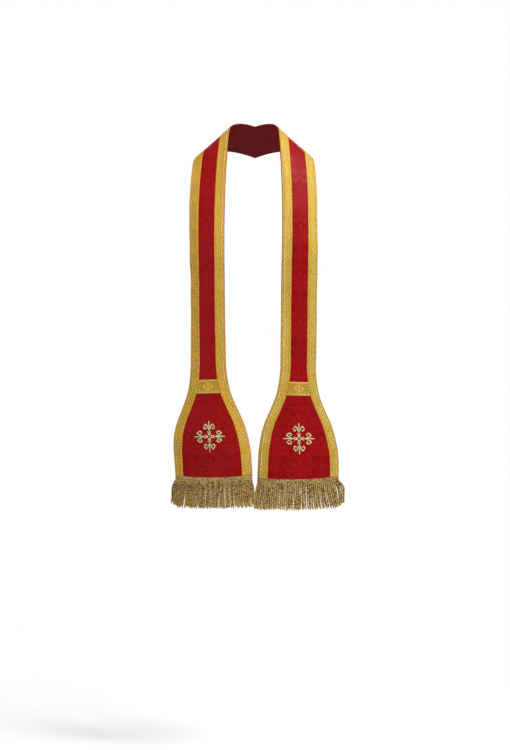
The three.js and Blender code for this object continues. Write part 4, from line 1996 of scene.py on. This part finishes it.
@dataclass
class Heading(OnBand):
    """The woven head of the fringe, over the bottom edge of the cloth."""

    rows: int = 5
    spacing: float = 2.1 * MM
    stitch: Triple = (2.0, 0.85, 0.8)
    lean: float = 0.62
    edge_stitch: Triple = (1.05, 0.5, 0.6)
    edge_row: float = 0.7 * MM
    first_row: float = 1.4 * MM
    tape_thick: float = 1.0 * MM
    lift: float = 1.25 * MM

    def body(self, finishes: Finishes) -> Object:
        """Makes the heading: a firm tape under rows of plaited stitches, with a fine upper edge."""
        cut = self.cut
        place = np.linspace(cut.hem + 0.3 * MM, cut.length - 0.2 * MM, 9)[:, None]
        across = self.grid(cut.half_width(place) - 0.2 * MM, 60)
        place = cut.dipped(place, across)
        heights = (HEADING.low + self.tape_thick, HEADING.low)
        flat = np.stack([across, place], axis=-1)
        tape = self.cloth(f"heading_tape_{self.name}", (place, across), heights, flat, finishes.heading)
        plait = Guides()
        for row in range(self.rows):
            share = (row + 0.5) / self.rows
            down = cut.hem + self.first_row + share * (cut.heading - 2.0 * MM)
            self._add_row(plait, down, self.lean if row % 2 else -self.lean, self.stitch)
        self._add_row(plait, cut.hem + self.edge_row, 0.0, self.edge_stitch)
        piece = sew(f"fringe_head_{self.name}", plait, finishes.heading, self.spacing, 6, 5)
        return keep(join(piece, tape), "bullion", f"fringe_heading_{self.name}")

    def _add_row(self, guides: Guides, down: float, lean: float, size: Triple) -> None:
        """Adds the guide of one row of leaning stitches."""
        place = np.full(90, down)
        across = np.linspace(-1.0, 1.0, 90) * (self.cut.half_width(place) - 1.4 * MM)
        low = self.cut.dipped(place, across)
        points, wide, run, out = self.band.row(low, across, HEADING.low + self.lift)
        guides.add_stitches(points, wide * math.cos(lean) + run * math.sin(lean), out, size)


@dataclass(frozen=True)
class CordLayer:
    """A layer of the fringe's cords: how many, how far out, how they begin, and whether they are lit or
    take painted shade.
    """

    cords: int
    height: float
    above: float
    rise: float = 0.0
    shorter: float = 0.0
    shade: float = 1.0
    drift: float = 1.0


@dataclass
class Bullion(OnBand):
    """The fringe: two layers of twisted cords, the front one sewn on over the heading's lower edge."""

    layers: tuple[CordLayer, ...] = (
        CordLayer(60, 1.5 * MM, 4.5 * MM, 0.0, 3.0 * MM, -1.0, 0.15),
        CordLayer(43, 4.1 * MM, 7.5 * MM, 1.6 * MM, drift=0.8),
    )
    strand: float = 1.12 * MM
    pitch: float = 6.8 * MM
    step: float = 1.16 * MM
    tip: float = 2.2 * MM
    inset: float = 1.6 * MM
    crowding: float = 0.13
    inner_spread: float = 5.0 * MM
    partings: tuple[tuple[float, float], ...] = ((0.7, 3.4 * MM), (-0.78, 1.2 * MM))
    parting_reach: float = 0.12
    drift_step: float = 0.7 * MM
    drift_limit: float = 1.8 * MM
    ragged: float = 1.9 * MM
    corner: float = 0.82
    corner_rise: float = 9.0 * MM
    wave: float = 0.5 * MM
    loose: float = 0.3 * MM
    seed: int = 7

    def body(self, finishes: Finishes) -> Object:
        """Makes the fringe."""
        luck = np.random.default_rng(self.seed + self.side)
        guides = Guides()
        for layer in self.layers:
            self._add_layer(guides, layer, luck)
        values = {"Strand": self.strand, "Pitch": self.pitch, "Step": self.step, "Sides": 6,
                  "Tip": self.tip, "Material": finishes.bullion}
        piece = TwistedCord().make(f"bullion_{self.name}", guides, values)
        return keep(piece, "bullion", f"fringe_{self.name}")

    def _drift(self, layer: CordLayer, place: Array, luck: np.random.Generator) -> Array:
        """How far the foot of each cord of a layer strays sideways, with the fringe's partings.

        Args:
            layer: the layer.
            place: where the cords begin, from -1 at one corner to 1 at the other.
            luck: where random numbers come from.

        Returns:
            The distances.
        """
        drift = np.cumsum(luck.normal(0.0, self.drift_step, layer.cords))
        drift -= np.linspace(drift[0], drift[-1], layer.cords)
        drift = np.clip(drift, -self.drift_limit, self.drift_limit) * layer.drift
        for at, gap in self.partings:
            beside = place - at
            drift += np.sign(beside) * gap / 2 * np.exp(-np.abs(beside) / self.parting_reach)
        return drift

    def _add_layer(self, guides: Guides, layer: CordLayer, luck: np.random.Generator) -> None:
        """Adds the guides of one layer's cords."""
        cut = self.cut
        hem_half = float(cut.half_width(cut.hem))
        share = np.linspace(0.0, 1.0, 24)
        even = np.linspace(-1.0, 1.0, layer.cords)
        place = even * (1.0 + self.crowding - self.crowding * even * even)
        drift = self._drift(layer, place, luck)
        for index, across in enumerate(place * (hem_half - self.inset)):
            spread = self.inner_spread if across < 0 else self.band.half.flare
            length = cut.fringe + layer.above - layer.shorter - abs(luck.normal(0.0, self.ragged))
            end = max(0.0, abs(across) / hem_half - self.corner) / (1.0 - self.corner)
            length -= end * self.corner_rise if across > 0 else 0.0
            away = across / hem_half * spread
            lean = away * (1.0 - end) + drift[index] + luck.normal(0.0, self.drift_step)
            arch = away * end * np.sin(np.minimum(share * 2.4, 1.0) * math.pi / 2)
            wave = luck.normal(0.0, self.wave) * np.sin(share * math.pi * 1.5 + luck.uniform(0, 6))
            sideways = across + lean * share ** 1.4 + arch + wave * share
            over = np.exp(-((share * length / layer.above - 0.6) / 0.7) ** 2)
            height = layer.height + layer.rise * over + luck.normal(0.0, self.loose) * share
            start = cut.dipped(np.array(cut.length), across) - layer.above
            points = self.band.lay(start + share * length, sideways, height)
            # A negative shade gives a negative phase, which marks the cord for painted shade.
            phase = layer.shade * luck.uniform(0.2, math.tau)
            guides.add(points, phase=np.full(len(share), phase))


@dataclass
class SlipStitches(OnBand):
    """The slip stitches that hold the lining along its edges."""

    stitch: Triple = (0.20, 0.9, 0.2)
    spacing: float = 5.0 * MM
    inset: float = 1.6 * MM
    sunk: float = 0.02 * MM

    def body(self, finishes: Finishes) -> Object:
        """Makes the stitches."""
        guides = Guides()
        place = np.linspace(4.0 * MM, self.cut.length - 4.0 * MM, 420)
        for edge in (1, -1):
            across = edge * (self.cut.half_width(place) - self.inset)
            low = self.cut.dipped(place, across)
            points, wide, run, out = self.band.row(low, across, LINING.low - self.sunk)
            guides.add_stitches(points, wide * 0.9 + run * 0.43 * edge, -out, self.stitch)
        name = f"lining_stitches_{self.name}"
        return keep(sew(name, guides, finishes.red_thread, self.spacing, 4, 3), "lining")


@dataclass
class StoleHalf:
    """Everything on one half of the stole."""

    half: Half
    cut: Cut = Cut()
    braid_starts: tuple[tuple[int, float], ...] = ((1, 12.0 * MM), (-1, 31.0 * MM))
    left_shift: float = 17.0 * MM
    stitch_spacing: float = 4.2 * MM

    def build(self, finishes: Finishes) -> None:
        """Makes and dresses the half's pieces.

        Args:
            finishes: the materials.
        """
        band = WornBand(self.cut, self.half)
        name = self.half.name
        face = Panel(band).face(finishes)
        lining = Panel(band).lining(finishes)
        beads, stitches = Guides(), Guides()
        trimmings = []
        for edge, start in self.braid_starts:
            braid = Braid(band, edge, start + (self.half.side > 0) * self.left_shift)
            trimmings.append(braid.body(finishes))
            braid.add_rows(beads, stitches)
        bar = Bar(band)
        trimmings.append(bar.body(finishes))
        bar.add_rows(stitches)
        rows = sew(f"braid_beads_{name}", beads, finishes.bead, BraidPattern().bead_gap)
        trimmings.append(keep(rows, "galloon"))
        rows = sew(f"braid_stitches_{name}", stitches, finishes.sewing, self.stitch_spacing, 4, 3)
        trimmings.append(keep(rows, "galloon"))
        trimmings += [piece(band).body(finishes) for piece in (Cross, Heading, Bullion)]
        hand = SlipStitches(band).body(finishes)
        flat = (2 * float(self.cut.half_width(self.cut.hem)), self.cut.length)
        self.cut.area()
        self.cut.area()


@dataclass
class NapeSeam:
    """The seam at the back of the neck: narrow welts where the halves meet, and its stitches."""

    cut: Cut = Cut()
    spacing: float = 2.6 * MM
    stitch: Triple = (1.5, 0.3, 0.28)
    slant: float = 0.55
    welt: float = 0.4 * MM
    raised: float = 0.1 * MM
    braid_welt: float = 0.8 * MM
    columns: int = 40

    def build(self, finishes: Finishes) -> None:
        """Makes the seam.

        Args:
            finishes: the materials.
        """
        half = float(self.cut.half_width(0.0))
        inner = half - self.cut.braid
        braid = Layer(BRAID.low, BRAID.low + self.braid_welt)
        self._join("damask", (-half, half), Layer(FACE.low, FACE.high + self.raised), finishes.damask)
        self._join("lining", (-half, half), Layer(LINING.low - self.raised, LINING.high), finishes.lining)
        self._join("galloon_inner", (-half, -inner), braid, finishes.braid)
        self._join("galloon_outer", (inner, half), braid, finishes.braid)
        self._stitches(inner - 1.5 * MM, finishes)

    def _join(self, name: str, ends: tuple[float, float], layer: Layer, finish: Material) -> None:
        """Makes one layer's welt, from one half over the seam to the other."""
        across = np.linspace(*ends, self.columns)
        rows = [(LEFT, self.welt), (LEFT, 0.0), (RIGHT, 0.0), (RIGHT, self.welt)]
        top, under = (
            np.stack([WornBand(self.cut, half).lay(place, across, height) for half, place in rows])
            for height in (layer.high, layer.low)
        )
        flat = np.stack(np.broadcast_arrays(across, np.zeros((len(rows), 1))), axis=-1)
        maker = MeshMaker(f"nape_welt_{name}")
        maker.add_cloth(top, under, flat, True)
        keep(maker.make(finish), name.split("_")[0])

    def _stitches(self, reach: float, finishes: Finishes) -> None:
        """Makes the stitches that close the seam of the damask."""
        band = WornBand(self.cut, LEFT)
        across = np.linspace(-reach, reach, self.columns)
        points = band.lay(0.0, across, FACE.high + 0.12 * MM)
        points[:, 0] = 0.0
        out = band.directions(1.0 * MM, across)[2]
        side = unit(np.gradient(points, axis=0)) * self.slant + np.array([0.83, 0.0, 0.0])
        guides = Guides()
        guides.add_stitches(points, side, out, self.stitch)
        keep(sew("nape_stitches", guides, finishes.red_thread, self.spacing), "damask")


# The studio
# ----------


@dataclass(frozen=True)
class Lamp:
    """A soft square light that faces the middle of the stole."""

    name: str
    at: Triple
    size: float
    power: float
    colour: Colour = (1.0, 1.0, 1.0)


@dataclass
class Studio:
    """The camera, lights and floor."""

    distance: float = 4.50
    plane: float = -0.090
    level: float = -0.5683
    view_height: float = 22.62
    floor: float = -1.50
    floor_rings: tuple[float, float] = (1.5, 3.4)
    floor_sides: int = 96
    aim: Triple = (0.0, -0.10, -0.45)
    lamps: tuple[Lamp, ...] = (
        Lamp("key", (3.0, -3.33, 4.40), 2.0, 364.0, (1.0, 0.99, 0.97)),
        Lamp("fill", (-2.8, -2.6, 0.2), 2.0, 22.0, (0.97, 0.98, 1.0)),
        Lamp("back", (0.6, 3.2, 1.8), 1.8, 40.0),
    )
    light: float = 0.50
    gloss: float = 0.22
    backdrop: float = 1.0

    def build(self) -> None:
        """Makes the studio."""
        self._camera()
        for lamp in self.lamps:
            self._lamp(lamp)
        self._world()
        self._floor()
        bpy.context.scene.view_settings.view_transform = "Standard"
        bpy.context.scene.view_settings.look = "None"

    def _camera(self) -> None:
        """Makes the camera, level and square to the front."""
        data = bpy.data.cameras.new("camera")
        data.sensor_fit = "VERTICAL"
        data.angle = math.radians(self.view_height)
        camera = linked("camera", data)
        camera.location = (0.0, self.plane - self.distance, self.level)
        camera.rotation_euler = (math.pi / 2, 0.0, 0.0)
        bpy.context.scene.camera = camera

    def _lamp(self, lamp: Lamp) -> None:
        """Makes a light."""
        data = bpy.data.lights.new(lamp.name, "AREA")
        data.shape = "SQUARE"
        data.size = lamp.size
        data.energy = lamp.power
        data.color = lamp.colour
        made = linked(lamp.name, data)
        made.location = lamp.at
        towards = Vector(self.aim) - Vector(lamp.at)
        made.rotation_euler = towards.to_track_quat("-Z", "Y").to_euler()

    def _world(self) -> None:
        """Makes the pale surroundings, which light the stole less than they show."""
        world = bpy.data.worlds.new("pale surroundings")
        world.use_nodes = True
        world.node_tree.nodes.clear()
        nodes = Nodes(world.node_tree)
        path = nodes.add("ShaderNodeLightPath")
        seen, mirrored = (Field(nodes, path.outputs[f"Is {ray} Ray"]) for ray in ("Camera", "Glossy"))
        strength = seen * (self.backdrop - self.light) + self.light
        strength = strength + mirrored * (self.gloss - self.light)
        inputs = {"Color": (1.0, 1.0, 1.0, 1.0), "Strength": strength}
        nodes.add("ShaderNodeOutputWorld", {"Surface": nodes.field("ShaderNodeBackground", inputs)})
        bpy.context.scene.world = world

    def _floor(self) -> None:
        """Makes the pale floor."""
        turns = np.linspace(0.0, math.tau, self.floor_sides, endpoint=False)
        rings = np.array(self.floor_rings)[:, None]
        x, y = rings * np.cos(turns), rings * np.sin(turns)
        points = np.stack([x, y, np.full_like(x, self.floor)], axis=-1)
        maker = MeshMaker("studio_floor")
        disc = maker.add_points(points, points[..., :2])
        centre = maker.add_points(np.array([[0.0, 0.0, self.floor]]), np.zeros((1, 2)))
        ahead = np.roll(disc, -1, axis=1)
        maker.add_faces([disc[0], ahead[0], np.full(self.floor_sides, centre[0])], False)
        maker.add_faces([disc[0], disc[1], ahead[1], ahead[0]], False)
        maker.make(FloorFinish().material())


def main() -> None:
    """Builds the studio and the stole in order."""
    logging.basicConfig(level=logging.INFO, format="%(name)s %(message)s")
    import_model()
    Studio().build()
    finishes = Finishes()
    for half in (LEFT, RIGHT):
        StoleHalf(half).build(finishes)
    NapeSeam().build(finishes)
    bpy.context.view_layer.update()


if __name__ == "__main__":
    main()
